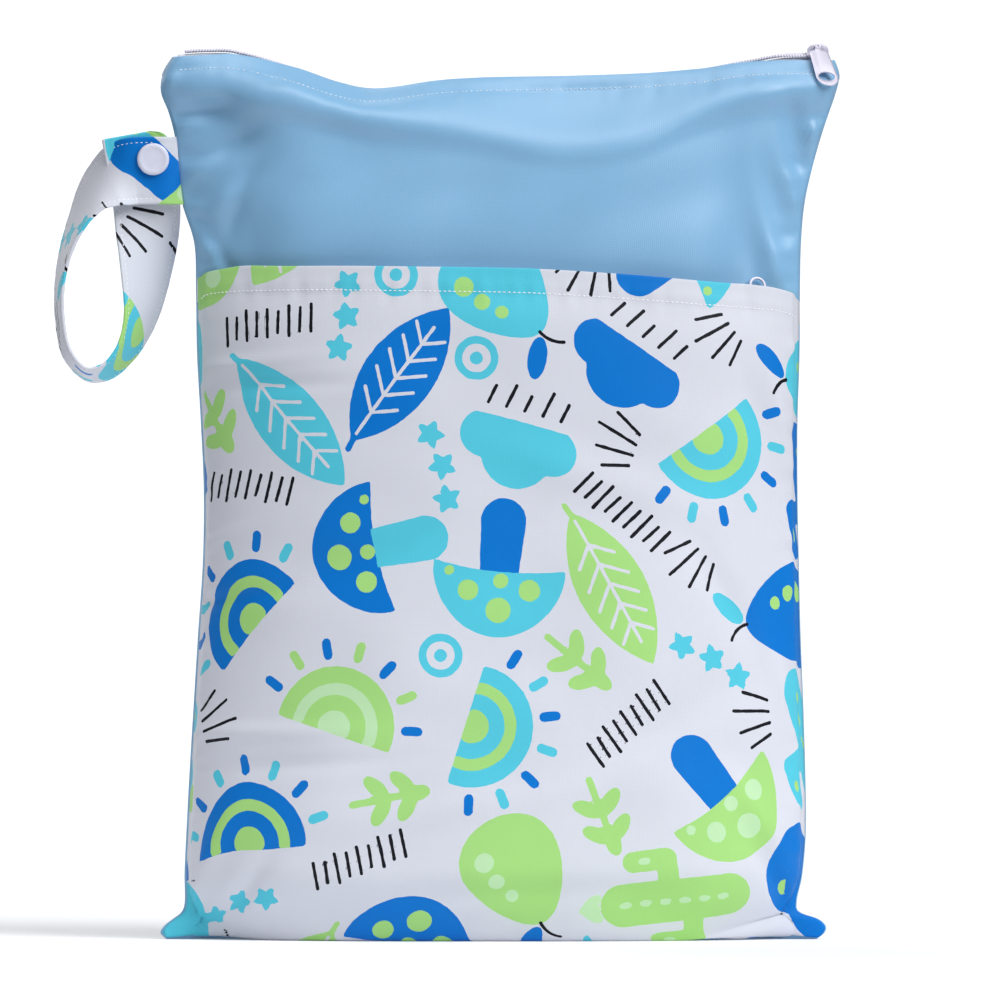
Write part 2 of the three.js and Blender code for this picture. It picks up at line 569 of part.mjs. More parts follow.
// The flat tab pull, hanging down from its beam's axis, with its plate on the -y side.
function tabPull() {
  const from = PULL.knuckle - PULL.thick;
  const tab = new THREE.Shape();
  tab.moveTo(-PULL.knuckleWidth / 2, 0);
  tab.lineTo(-PULL.knuckleWidth / 2, -PULL.knuckle);
  tab.quadraticCurveTo(-PULL.topHalf, -PULL.knuckle, -PULL.topHalf, -PULL.neck);
  tab.lineTo(-PULL.endHalf, -PULL.length + PULL.corner);
  tab.quadraticCurveTo(-PULL.endHalf, -PULL.length, -PULL.endHalf + PULL.corner, -PULL.length);
  tab.lineTo(PULL.endHalf - PULL.corner, -PULL.length);
  tab.quadraticCurveTo(PULL.endHalf, -PULL.length, PULL.endHalf, -PULL.length + PULL.corner);
  tab.lineTo(PULL.topHalf, -PULL.neck);
  tab.quadraticCurveTo(PULL.topHalf, -PULL.knuckle, PULL.knuckleWidth / 2, -PULL.knuckle);
  tab.lineTo(PULL.knuckleWidth / 2, 0);
  tab.closePath();
  const hole = new THREE.Path();
  const holeY = -PULL.length + PULL.holeFromEnd;
  hole.absellipse(0, holeY, PULL.holeHalfLength, PULL.holeHalfHeight, 0, 2 * Math.PI, true);
  tab.holes.push(hole);
  const plate = extruded(tab, PULL.thick, 8).rotateX(Math.PI / 2).translate(0, -from, 0);
  const position = plate.attributes.position;
  const fan = Math.tan(PULL.slant);
  for (let i = 0; i < position.count; i += 1) {
    const below = Math.max(-position.getZ(i) - PULL.knuckle, 0);
    position.setX(i, position.getX(i) + below * fan);
  }
  const bore = new THREE.CylinderGeometry(PULL.knuckleBore, PULL.knuckleBore, 2 * PULL.knuckleWidth, 16);
  bore.rotateZ(Math.PI / 2);
  const whole = solidOf(joined([plate, knuckleGeometry()])).subtract(solidOf(bore));
  return geometryOf(whole);
}

// The pocket's pull: a stem with a round ring at its end, hanging down from its beam's axis.
function ringPull() {
  const centre = -RING_PULL.length + RING_PULL.ringRadius;
  const ring = new THREE.Shape().absarc(0, centre, RING_PULL.ringRadius, 0, 2 * Math.PI);
  const inner = RING_PULL.ringRadius - RING_PULL.stroke;
  ring.holes.push(new THREE.Path().absarc(0, centre, inner, 0, 2 * Math.PI, true));
  const stem = new THREE.Shape();
  const foot = centre + inner + RING_PULL.stroke / 2;
  stem.moveTo(-RING_PULL.stemHalf, 0);
  stem.lineTo(-RING_PULL.stemHalf, foot);
  stem.lineTo(RING_PULL.stemHalf, foot);
  stem.lineTo(RING_PULL.stemHalf, 0);
  stem.closePath();
  const upright = (shape, segments) =>
    extruded(shape, RING_PULL.thick, segments).translate(0, 0, -RING_PULL.thick / 2).rotateX(Math.PI / 2);
  const k = RING_PULL.scale;
  const knuckle = knuckleGeometry().scale(k, k, k);
  const bore = new THREE.CylinderGeometry(PULL.knuckleBore * k, PULL.knuckleBore * k, 4 * PULL.knuckle, 16);
  bore.rotateZ(Math.PI / 2);
  const whole = solidOf(joined([upright(ring, 12), upright(stem, 1), knuckle]));
  return geometryOf(whole.subtract(solidOf(bore)));
}

// A piece of the pocket's zip: reach gives its rows, as distances from the coil's middle up the
// front panel, and how far its outer side stands off the panel there.
function pocketZipPiece(rows, thick) {
  const line = places(COLUMNS, -POCKET_ZIP.span, POCKET_ZIP.span);
  const layer = (deep) =>
    rows.map(({ reach, out }) =>
      line.map((s) => {
        const row = rowAt(FRONT, s, pocketHeight(s) - POCKET_ZIP.below + reach);
        return offSkin(FRONT, s, row, out(s) - deep);
      }),
    );
  return shell(layer(0), layer(thick));
}

const coilFoot = POCKET_ZIP.clear + POCKET_ZIP.tape + GAP; // front panel to the back of the coil
const coilTop = coilFoot + POCKET_ZIP.coilThick;
const tapeTop = POCKET_ZIP.clear + POCKET_ZIP.tape;

function pocketCoil() {
  const half = POCKET_ZIP.coilWidth / 2;
  const rows = [-half, 0, half].map((reach) => ({ reach, out: () => coilTop }));
  return pocketZipPiece(rows, POCKET_ZIP.coilThick);
}

function pocketUpperTape() {
  const rows = [POCKET_ZIP.edge, POCKET_ZIP.tapeReach / 2, POCKET_ZIP.tapeReach].map((reach) => ({
    reach,
    out: () => tapeTop,
  }));
  return pocketZipPiece(rows, POCKET_ZIP.tape);
}

// The lower tape leaves the coil on the front panel and rises to the pocket's inner side.
function pocketLowerTape() {
  const against = (s) => pocketStand(s, pocketHeight(s) - POCKET_ZIP.below) - GAP;
  const rows = [0, 0.3, 0.7, 1].map((share) => ({
    reach: -lerp(POCKET_ZIP.edge, POCKET_ZIP.tapeReach, share),
    out: (s) => lerp(tapeTop, Math.max(against(s), tapeTop), smoothstep(share, 0.3, 0.7)),
  }));
  return pocketZipPiece(rows, POCKET_ZIP.tape);
}

// Left side seam of the bag at a height.
const leftSeam = (z) => skin(FRONT, -1, rowAt(FRONT, -1, z)).x;

const strapHeight = BAG.height - STRAP.belowTop;

function strap() {
  const seam = leftSeam(strapHeight);
  const last = STRAP_ROUTE.length - 1;
  const centre = (at) =>
    new THREE.Vector3(
      seam - GAP - along(STRAP_ROUTE, "out", at) * STRAP.reach,
      along(STRAP_ROUTE, "back", at) * STRAP.width,
      strapHeight + along(STRAP_ROUTE, "rise", at) * STRAP.drop,
    );
  const outer = [];
  const inner = [];
  for (let i = 0; i <= STRAP_STEPS; i += 1) {
    const at = (last * i) / STRAP_STEPS;
    const tangent = centre(Math.min(at + 0.02, last)).sub(centre(Math.max(at - 0.02, 0))).normalize();
    const wide = new THREE.Vector3(...["wx", "wy", "wz"].map((key) => along(STRAP_ROUTE, key, at)));
    wide.addScaledVector(tangent, -wide.dot(tangent)).normalize();
    const normal = new THREE.Vector3().crossVectors(wide, tangent);
    const line = Array.from({ length: STRAP_COLUMNS + 1 }, (_, c) => {
      const point = centre(at).addScaledVector(wide, (c / STRAP_COLUMNS - 0.5) * STRAP.width);
      if (i === 0) point.x = leftSeam(point.z) - GAP;
      return point;
    });
    outer.push(line.map((p) => p.clone().addScaledVector(normal, STRAP.thick / 2)));
    inner.push(line.map((p) => p.clone().addScaledVector(normal, -STRAP.thick / 2)));
  }
  return shell(outer, inner);
}

// Disc of the snap about the Y axis, from y = 0 to y = thick, with its far rim rounded.
function snapDisc(radius, thick) {
  const round = Math.min(0.6, thick / 2);
  const half = [
    new THREE.Vector2(0, 0),
    new THREE.Vector2(radius, 0),
    new THREE.Vector2(radius, thick - round),
    new THREE.Vector2(radius - round * 0.3, thick - round * 0.3),
    new THREE.Vector2(radius - round, thick),
    new THREE.Vector2(0, thick),
  ];
  return new THREE.LatheGeometry(half, 24);
}

const bag = new THREE.Group();
const cloth = (color) => new THREE.MeshStandardMaterial({ color, roughness: 0.6, metalness: 0 });
const printedCloth = cloth(0xd8dae6);
const blueCloth = cloth(0x7fb0d6);
const zipTape = new THREE.MeshStandardMaterial({ color: 0xeef0f6, roughness: 0.8, metalness: 0 });
const zipResin = new THREE.MeshStandardMaterial({ color: 0xe8e8f4, roughness: 0.35, metalness: 0 });
const snapResin = new THREE.MeshStandardMaterial({ color: 0xd4d6e6, roughness: 0.3, metalness: 0 });

function add(name, geometry, material, group = bag) {
  const mesh = new THREE.Mesh(geometry, material);
  mesh.name = name;
  group.add(mesh);
  return mesh;
}

add("front_panel", panel(FRONT), blueCloth);
add("back_panel", panel(BACK), printedCloth);
add("pocket_panel", pocketPanel(), printedCloth);
add("strap", strap(), printedCloth);

add("top_zip_coil", topCoil(), zipTape);
add("top_zip_tape_front", topTape(FRONT), zipTape);
add("top_zip_tape_back", topTape(BACK), zipTape);

const topSlider = new THREE.Group();
topSlider.position.copy(zipCentre(sliderPlace));
topSlider.rotation.x = zipRoll(sliderPlace);
bag.add(topSlider);
add("top_zip_slider", sliderGeometry(TOP_ZIP.coilWidth, TOP_ZIP.coilThick), zipResin, topSlider);
const topPull = add("top_zip_pull", tabPull(), zipResin, topSlider);
topPull.position.z = beamHeight(TOP_ZIP.coilThick);
topPull.rotation.x = -PULL.lean - zipRoll(sliderPlace);

add("pocket_zip_coil", pocketCoil(), zipTape);
add("pocket_zip_tape_upper", pocketUpperTape(), zipTape);
add("pocket_zip_tape_lower", pocketLowerTape(), zipTape);

// The pocket's slider stands on the coil, square to the front panel behind it.
const pocketSlider = new THREE.Group();
const pocketEdge = skin(FRONT, 1, rowAt(FRONT, 1, POCKET.height)).x;
const pocketPlace = (POCKET_ZIP.sliderAt * BAG.halfWidth) / pocketEdge;
const pocketRow = rowAt(FRONT, pocketPlace, pocketHeight(pocketPlace) - POCKET_ZIP.below);
const outward = facing(FRONT, pocketPlace, pocketRow);
const zipAhead = (step) => {
  const s = pocketPlace + step;
  return skin(FRONT, s, rowAt(FRONT, s, pocketHeight(s) - POCKET_ZIP.below));
};
const lengthwise = zipAhead(0.02).sub(zipAhead(-0.02)).normalize();
lengthwise.addScaledVector(outward, -lengthwise.dot(outward)).normalize();
const upward = new THREE.Vector3().crossVectors(outward, lengthwise);
pocketSlider.quaternion.setFromRotationMatrix(new THREE.Matrix4().makeBasis(lengthwise, upward, outward));
pocketSlider.position.copy(offSkin(FRONT, pocketPlace, pocketRow, (coilFoot + coilTop) / 2));
bag.add(pocketSlider);
const small = RING_PULL.scale;
const coilForSmall = { width: POCKET_ZIP.coilWidth / small, thick: POCKET_ZIP.coilThick / small };
const smallSlider = sliderGeometry(coilForSmall.width, coilForSmall.thick).scale(small, small, small);
add("pocket_zip_slider", smallSlider, zipResin, pocketSlider);
const pocketPull = add("pocket_zip_pull", ringPull(), zipResin, pocketSlider);
pocketPull.position.z = beamHeight(coilForSmall.thick) * small;
pocketPull.rotation.x = Math.PI / 2 - RING_PULL.lean;

// The snap goes through the strap's start and its free end behind it.
const snapX = leftSeam(strapHeight) - SNAP.fromSeam;
const snapZ = strapHeight + SNAP.aboveStrap;
const frontLayer = along(STRAP_ROUTE, "back", 1.5) * STRAP.width;
const rearLayer = along(STRAP_ROUTE, "back", STRAP_ROUTE.length - 1) * STRAP.width;
const placeSnap = (name, radius, thick, y, way) => {
  const piece = add(name, snapDisc(radius, thick), snapResin);
  piece.position.set(snapX, y, snapZ);
  piece.rotation.x = way < 0 ? Math.PI : 0;
};
const snapGap = GAP + 0.05;
placeSnap("snap_cap", SNAP.capRadius, SNAP.capThick, frontLayer - STRAP.thick / 2 - snapGap, -1);
placeSnap("snap_socket", SNAP.ringRadius, SNAP.ringThick, frontLayer + STRAP.thick / 2 + snapGap, 1);
placeSnap("snap_stud", SNAP.ringRadius, SNAP.ringThick, rearLayer - STRAP.thick / 2 - snapGap, -1);
placeSnap("snap_back_cap", SNAP.capRadius, SNAP.capThick, rearLayer + STRAP.thick / 2 + snapGap, 1);

export default bag;
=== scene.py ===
import json
import math

import bpy
import numpy as np
from mathutils import Matrix, Vector

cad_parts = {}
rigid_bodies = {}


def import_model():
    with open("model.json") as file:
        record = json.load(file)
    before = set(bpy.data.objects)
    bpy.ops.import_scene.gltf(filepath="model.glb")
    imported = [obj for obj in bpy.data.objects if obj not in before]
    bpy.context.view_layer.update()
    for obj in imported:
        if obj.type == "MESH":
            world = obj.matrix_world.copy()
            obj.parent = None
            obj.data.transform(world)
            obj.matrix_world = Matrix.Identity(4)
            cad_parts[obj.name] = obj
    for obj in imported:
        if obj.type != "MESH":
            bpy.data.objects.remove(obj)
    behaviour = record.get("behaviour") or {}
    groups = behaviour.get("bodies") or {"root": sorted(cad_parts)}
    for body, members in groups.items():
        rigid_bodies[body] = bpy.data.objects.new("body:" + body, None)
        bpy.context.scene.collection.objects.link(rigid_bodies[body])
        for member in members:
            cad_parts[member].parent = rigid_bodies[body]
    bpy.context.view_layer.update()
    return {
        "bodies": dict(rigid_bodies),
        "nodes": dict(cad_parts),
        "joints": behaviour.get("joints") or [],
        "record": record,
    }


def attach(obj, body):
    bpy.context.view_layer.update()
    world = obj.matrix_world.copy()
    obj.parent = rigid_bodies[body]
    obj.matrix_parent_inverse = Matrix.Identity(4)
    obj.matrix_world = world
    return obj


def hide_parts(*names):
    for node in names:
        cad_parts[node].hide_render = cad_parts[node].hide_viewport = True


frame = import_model()

# Sizes are in millimetres. Arrays of points are worked out in them and written to meshes in metres.
MM = 0.001
FRONT, BACK = -1, 1


def table(names, rows):
    """Columns of a table, by name."""
    return dict(zip(names.split(), np.array(rows, float).T))


# The bag's form. Shares are of the sizes that the comments name.
HALF_WIDTH = 150.0
HEIGHT = 392.5
FRONT_DEPTH, BACK_DEPTH = 42.0, 40.0
CAD_WALL = 1.2  # the room that a folded hem has
HEM_DIP = 15.0
BROW, BACK_BROW = 28.0, 0.8  # band that leans back to the zip, and the back's share of it
BROW_REACH, BROW_ROUND = 1.35, 1.5
DIP_FROM = 0.78
SEAM_SHIFT = 6.0
SEAM_PULL = 26.0
SOLE_FLAT = 0.62
SOLE_ROWS = 3
SEAM_HALF = 0.5  # side seams: half the distance between the two cloths' faces
ZIP_HALF = 3.5  # middle of the top zip to the outer face of each hem

ROWS = table("rim mid left right front back pinch", (
    (0.000, 0.000, 0.985, 0.935, 0.00, 0.00, 0.90),
    (0.007, 0.000, 1.003, 0.958, 0.30, 0.33, 0.90),
    (0.015, 0.000, 0.992, 0.963, 0.53, 0.57, 0.90),
    (0.023, 0.000, 0.966, 0.940, 0.70, 0.73, 0.91),
    (0.031, 0.006, 0.940, 0.884, 0.81, 0.84, 0.93),
    (0.044, 0.022, 0.931, 0.877, 0.88, 0.91, 0.96),
    (0.075, 0.058, 0.932, 0.894, 0.94, 0.96, 0.99),
    (0.125, 0.115, 0.926, 0.904, 0.98, 0.99, 1.00),
    (0.190, 0.185, 0.917, 0.902, 1.00, 1.00, 1.00),
    (0.265, 0.265, 0.905, 0.896, 1.00, 1.00, 1.00),
    (0.345, 0.345, 0.892, 0.888, 0.99, 0.98, 1.00),
    (0.425, 0.425, 0.878, 0.883, 0.97, 0.95, 1.00),
    (0.505, 0.505, 0.875, 0.879, 0.94, 0.91, 1.00),
    (0.585, 0.585, 0.884, 0.879, 0.90, 0.85, 1.00),
    (0.660, 0.660, 0.895, 0.885, 0.85, 0.78, 1.00),
    (0.730, 0.730, 0.898, 0.886, 0.79, 0.70, 1.00),
    (0.785, 0.785, 0.903, 0.889, 0.74, 0.63, 1.00),
    (0.830, 0.830, 0.938, 0.899, 0.69, 0.56, 1.00),
    (0.870, 0.870, 0.951, 0.920, 0.64, 0.50, 1.00),
    (0.905, 0.905, 0.959, 0.944, 0.59, 0.45, 1.00),
    (0.935, 0.935, 0.978, 0.968, 0.55, 0.41, 1.00),
    (0.960, 0.960, 1.002, 0.990, 0.52, 0.38, 1.00),
    (0.982, 0.982, 0.994, 1.002, 0.50, 0.36, 1.00),
    (1.000, 1.000, 0.965, 0.988, 0.48, 0.34, 1.00),
))
TOP_ROW = len(ROWS["rim"]) - 1

# The top edge: dip is a share of HEM_DIP, brow of BROW, peek says how far the zip shows above it.
HEM = table("across dip brow peek", (
    (-1.00, 0.09, 0.35, 1.0),
    (-0.90, 0.03, 0.45, 0.9),
    (-0.80, 0.02, 0.55, 0.3),
    (-0.62, 0.41, 0.40, -1.0),
    (-0.48, 0.86, 0.35, -1.0),
    (-0.38, 1.00, 0.40, -1.0),
    (-0.20, 0.77, 0.62, -1.0),
    (-0.06, 0.68, 0.75, -1.0),
    (0.20, 0.64, 0.98, -1.0),
    (0.43, 0.56, 0.90, -1.0),
    (0.60, 0.42, 0.60, -1.0),
    (0.72, 0.24, 0.48, -0.4),
    (0.84, 0.18, 0.40, 0.9),
    (1.00, 0.20, 0.35, 1.0),
))

POCKET_HEIGHT = 297.5
POCKET_FALL = 15.0  # how far its hem falls to the right side seam
POCKET_SIDE = 0.6  # clearance to the front panel along its sides and foot
POCKET_STAND, POCKET_HEM_STAND = 9.2, 6.4
POCKET_RISE = 34.0
POCKET_BOXY = 14
POCKET_FOLD = 10.0  # depth of its folded hem
POCKET_HEM = table("across fall", (
    (-1.00, 0.32), (-0.93, 0.12), (-0.84, 0.04), (-0.60, 0.00), (-0.30, 0.03), (0.10, 0.09),
    (0.42, 0.26), (0.70, 0.46), (0.88, 0.58), (0.97, 0.78), (1.00, 1.00),
))
POCKET_ZIP_BELOW = 16.0

# Broad dents and folds of the two panels: across and up are shares of the half width and the
# height, turn is the angle from upright, and deep is a share of the panel's depth.
FOLDS = table("side across up turn long wide deep", (
    (-1, -0.86, 0.93, -50, 0.20, 0.09, -0.10),
    (-1, -0.80, 0.80, 35, 0.22, 0.09, -0.08),
    (-1, 0.87, 0.86, -18, 0.30, 0.09, 0.08),
    (-1, 0.78, 0.75, 8, 0.25, 0.08, -0.07),
    (-1, -0.30, 0.30, 62, 0.50, 0.16, 0.04),
    (-1, 0.40, 0.50, -70, 0.50, 0.16, -0.04),
    (1, -0.70, 0.85, 40, 0.30, 0.11, -0.12),
    (1, 0.65, 0.78, -35, 0.35, 0.12, -0.12),
    (1, 0.10, 0.55, 75, 0.60, 0.14, -0.08),
    (1, -0.45, 0.25, 25, 0.40, 0.13, -0.06),
))
FOLDS_FROM, FOLDS_FULL = 4, 8  # rows over which the folds begin

# The strap's route from the side seam, round the loop and up behind its own start: out is a share
# of STRAP_REACH, rise of STRAP_DROP, back of STRAP_WIDTH, and wx, wy, wz point across the strap.
STRAP_WIDTH, STRAP_THICK, STRAP_REACH, STRAP_DROP = 30.0, 1.6, 55.0, 108.0
STRAP_HEIGHT = HEIGHT - 52.0
STRAP_ROUTE = table("out rise back wx wy wz", (
    (0.000, 0.000, -0.030, 0.000, 0.00, 1.00),
    (0.110, 0.000, -0.073, 0.000, 0.00, 1.00),
    (0.240, 0.000, -0.073, 0.000, 0.00, 1.00),
    (0.380, -0.004, -0.073, -0.020, 0.06, 0.99),
    (0.530, -0.030, -0.030, -0.200, 0.45, 0.86),
    (0.670, -0.090, 0.050, -0.330, 0.80, 0.48),
    (0.800, -0.200, 0.090, -0.240, 0.94, 0.20),
    (0.905, -0.340, 0.100, -0.170, 0.98, 0.06),
    (0.953, -0.486, 0.100, -0.130, 0.99, 0.00),
    (0.945, -0.626, 0.100, -0.120, 0.99, -0.03),
    (0.890, -0.750, 0.100, -0.100, 0.98, -0.12),
    (0.745, -0.832, 0.100, 0.000, 0.98, -0.18),
    (0.580, -0.825, 0.110, 0.100, 0.97, -0.20),
    (0.455, -0.770, 0.120, 0.220, 0.96, -0.14),
    (0.355, -0.685, 0.130, 0.340, 0.93, -0.10),
    (0.283, -0.560, 0.140, 0.520, 0.85, -0.06),
    (0.250, -0.370, 0.150, 0.790, 0.61, 0.00),
    (0.243, -0.250, 0.140, 0.930, 0.36, 0.04),
    (0.250, -0.135, 0.100, 0.985, 0.12, 0.12),
    (0.290, 0.000, 0.056, 0.980, 0.00, 0.20),
    (0.343, 0.152, 0.056, 0.980, 0.00, 0.20),
))

COIL_WIDTH, COIL_THICK = 3.8, 1.8
ZIP_PEEK, ZIP_SINK = 1.9, 1.2
SLIDER_ROLL = math.radians(35)
SLIDER_FROM_CORNER = 7.5
SLIDER_LENGTH = 9.6
ROLL_REACH = 22.0
TOP_TAPE_SPAN = 0.985
POCKET_TAPE_SPAN = 0.93

CLEAR = 0.3  # clearance between neighbouring pieces
CLOTH = 0.5  # thickness of one layer of laminated cloth
FOLD_ROUND = 0.6  # outer radius of a folded hem


def smooth(value, low, high):
    """Smooth step from 0 at low to 1 at high."""
    t = np.clip((value - low) / (high - low), 0, 1)
    return t * t * (3 - 2 * t)


def mix(a, b, share):
    return a + (b - a) * share


def unit(vectors):
    """Vectors made one long."""
    return vectors / np.linalg.norm(vectors, axis=-1, keepdims=True)


def run_length(path):
    """Distance run along a path at each of its points."""
    steps = np.linalg.norm(np.diff(path, axis=0), axis=-1)
    return np.concatenate((np.zeros((1, *steps.shape[1:])), np.cumsum(steps, axis=0)))


def even_places(places, path, spacing):
    """Places evenly spaced along a path, out of finer ones and their points."""
    length = run_length(path)
    return np.interp(np.linspace(0, length[-1], int(length[-1] / spacing) + 1), length, places)


def hump(dx, dz, turn, long, wide):
    """A long soft hump, one high in its middle, at an offset from there."""
    angle = math.radians(turn)
    lengthwise = (dz * math.cos(angle) + dx * math.sin(angle)) / long
    sideways = (dx * math.cos(angle) - dz * math.sin(angle)) / wide
    return np.exp(-lengthwise**2 - sideways**2)


def along(values, at):
    """Value of a table's column at a fractional row, on a smooth curve through the rows."""
    last = len(values) - 1
    i = np.clip(np.floor(at).astype(int), 0, last - 1)
    f = at - i
    a, b, c, d = (values[np.clip(i + k, 0, last)] for k in (-1, 0, 1, 2))
    return b + 0.5 * f * (c - a + f * (2 * a - 5 * b + 4 * c - d + f * (3 * (b - c) + d - a)))


def across(columns, key, s):
    """Value of a column at a place across the bag, from -1 at the left seam to 1 at the right one."""
    knots = columns["across"]
    i = np.clip(np.searchsorted(knots, s, side="left") - 1, 0, len(knots) - 2)
    f = np.clip((s - knots[i]) / (knots[i + 1] - knots[i]), 0, 1)
    return along(columns[key], i + f)


def hem_height(s):
    return HEIGHT - HEM_DIP * across(HEM, "dip", s)


def pocket_height(s):
    return POCKET_HEIGHT - POCKET_FALL * across(POCKET_HEM, "fall", s)


def fold_depth(side, s, up):
    """Depth that the folds add to a panel, as a share of its own."""
    total = 0.0
    for of_side, at, high, turn, long, wide, deep in zip(*FOLDS.values()):
        if of_side == side:
            total = total + deep * hump(s - at, (up - high) * HEIGHT / HALF_WIDTH, turn, long, wide)
    return total


def skin(side, s, row):
    """Points of a panel's outer face: s runs across the bag, row up it from the bottom seam."""
    s, row = np.broadcast_arrays(np.asarray(s, float), np.asarray(row, float))
    left, right = along(ROWS["left"], row) * HALF_WIDTH, along(ROWS["right"], row) * HALF_WIDTH
    middle = 1 - smooth(np.abs(s), SOLE_FLAT, 1)
    rise = mix(along(ROWS["rim"], row), along(ROWS["mid"], row), middle)
    z = HEIGHT * np.maximum(rise, 0) - HEM_DIP * across(HEM, "dip", s) * smooth(rise, DIP_FROM, 1)
    below = np.maximum(hem_height(s) - z, 0)
    brow = BROW * (across(HEM, "brow", s) if side == FRONT else BACK_BROW)
    closing = 1 - (1 - np.minimum(below / (BROW_REACH * brow), 1)) ** BROW_ROUND
    lens = 1 - np.minimum(np.abs(s) / along(ROWS["pinch"], row), 1) ** 3
    full, column = (FRONT_DEPTH, "front") if side == FRONT else (BACK_DEPTH, "back")
    folded = full * fold_depth(side, s, rise) * np.minimum(2 * lens, 1) * smooth(row, FOLDS_FROM, FOLDS_FULL)
    depth = np.maximum(full * along(ROWS[column], row) * lens + folded, 0)
    pulled = 1 - smooth(below, 0, SEAM_PULL)
    corner = mix(ZIP_HALF, 2 * SEAM_HALF, smooth(np.abs(s), TOP_TAPE_SPAN - 0.01, 1))
    seam = mix(SEAM_HALF, corner, pulled)
    y = side * (seam + depth * closing) + SEAM_SHIFT * middle * (1 - smooth(row, 0, SOLE_ROWS))
    return np.stack(((right - left) / 2 + s * (right + left) / 2, y, z), axis=-1)


def directions(side, s, row, step=1e-3):
    """Outward and upward directions of a panel's outer face."""
    ahead, behind = np.minimum(s + step, 1), np.maximum(s - step, -1)
    up, down = np.minimum(row + step, TOP_ROW), np.maximum(row - step, 0)
    wide = unit(skin(side, ahead, row) - skin(side, behind, row))
    tall = unit(skin(side, s, up) - skin(side, s, down))
    normal = np.cross(wide, tall) * -side
    flat = smooth(np.abs(s), 0.94, 1)[..., None]
    return unit(mix(unit(normal), np.array((0, side, 0.0)), flat)), tall


def row_at(side, s, z):
    """Row where a panel's outer face is at a height."""
    low = np.full(np.shape(s), float(SOLE_ROWS))
    high = np.full(np.shape(s), float(TOP_ROW))
    for _ in range(26):
        middle = (low + high) / 2
        under = skin(side, s, middle)[..., 2] < z
        low, high = np.where(under, middle, low), np.where(under, high, middle)
    return (low + high) / 2


def even_rows(side, low, high, spacing):
    """Rows evenly spaced along the cloth, between two rows."""
    fine = np.linspace(low, high, 600)
    return even_places(fine, skin(side, 0.3, fine), spacing)


# Creases and hollows pressed into the cloth: x and z are the middle, turn the angle from upright in
# degrees, long and wide half the size, and deep how far it stands out, negative for a hollow.
FRONT_CREASES = table("x z turn long wide deep", (
    (-96, 325, 4, 58, 26, 3.4),
    (-128, 368, 72, 15, 6.0, -3.6),
    (-139, 360, 66, 9, 3.4, 2.0),
    (-122, 350, 64, 14, 5.0, -3.0),
    (-132, 342, 54, 11, 3.4, 2.0),
    (-113, 337, 55, 12, 4.6, -2.2),
    (-122, 329, 40, 10, 3.2, 1.4),
    (-118, 317, 20, 12, 4.4, -2.0),
    (-129, 306, -38, 11, 3.0, 2.0),
    (-122, 300, -32, 10, 3.2, -1.8),
    (-70, 338, 72, 34, 9.0, -1.0),
    (139, 356, -14, 14, 3.6, 2.8),
    (131, 352, -10, 16, 4.4, -2.2),
    (129, 331, -18, 13, 3.6, 2.6),
    (121, 329, -12, 18, 4.8, -2.0),
    (121, 301, -12, 13, 3.4, 2.0),
    (112, 300, -8, 17, 5.2, -1.7),
    (60, 322, 74, 46, 12.0, -1.2),
    (-30, 318, 80, 50, 12.0, 0.9),
))
POCKET_CREASES = table("x z turn long wide deep", (
    (-118, 254, 84, 30, 3.2, 1.6),
    (-98, 245, 88, 34, 3.6, -1.4),
    (-104, 92, 88, 36, 3.8, 1.7),
    (-92, 78, 86, 40, 4.2, -1.6),
    (-118, 150, 80, 26, 4.0, -1.4),
    (-124, 176, 70, 20, 3.4, 1.3),
    (-60, 168, 70, 46, 9.0, -1.6),
    (40, 205, -72, 50, 10.0, 1.5),
    (96, 150, -28, 26, 6.0, -1.9),
    (118, 236, -12, 22, 5.0, 1.9),
    (108, 228, -10, 24, 5.0, -1.4),
    (120, 110, -20, 26, 5.0, 1.7),
    (70, 96, 60, 40, 9.0, -1.6),
    (-20, 60, 82, 52, 8.0, 1.5),
    (112, 52, -35, 24, 5.0, 2.0),
    (-122, 40, 28, 22, 5.0, 2.0),
    (-108, 24, 40, 18, 4.0, -2.1),
    (118, 26, -34, 16, 4.0, -2.2),
    (0, 22, 88, 70, 5.0, -1.3),
))
BACK_CREASES = table("x z turn long wide deep", (
    (-105, 334, 40, 42, 11.0, -3.2),
    (98, 306, -35, 46, 12.0, -3.0),
    (15, 216, 75, 80, 14.0, -2.2),
    (-68, 98, 25, 52, 13.0, -1.8),
    (60, 120, -30, 50, 11.0, 1.4),
    (-30, 350, 80, 50, 8.0, 1.2),
    (120, 352, -20, 14, 4.0, 1.4),
    (-122, 356, 24, 14, 4.0, 1.4),
    (0, 40, 85, 70, 9.0, -1.4),
))


def creased(creases, x, z):
    """How far a set of creases moves the cloth outwards."""
    total = np.zeros(np.shape(x))
    for cx, cz, turn, long, wide, deep in zip(*creases.values()):
        total += deep * hump(x - cx, z - cz, turn, long, wide)
    return total


def ripples(seed, x, z, longest, shortest, height):
    """Soft unevenness of the cloth: a sum of waves in all directions, the same on each run."""
    rng = np.random.default_rng(seed)
    total = np.zeros(np.shape(x))
    count = 14
    for length in np.geomspace(longest, shortest, count):
        angle, phase = rng.uniform(0, 2 * math.pi, 2)
        total += length * np.sin(2 * math.pi * (x * math.cos(angle) + z * math.sin(angle)) / length + phase)
    return height * total / (longest * math.sqrt(count / 2))


def puckers(seed, place, pitch):
    """Small gathers that a row of stitches draws into the cloth, at places along the row."""
    rng = np.random.default_rng(seed)
    total = np.zeros(np.shape(place))
    for share in (1.0, 0.62, 1.47):
        total += np.sin(2 * math.pi * place / (pitch * share) + rng.uniform(0, 2 * math.pi)) / 3
    return total


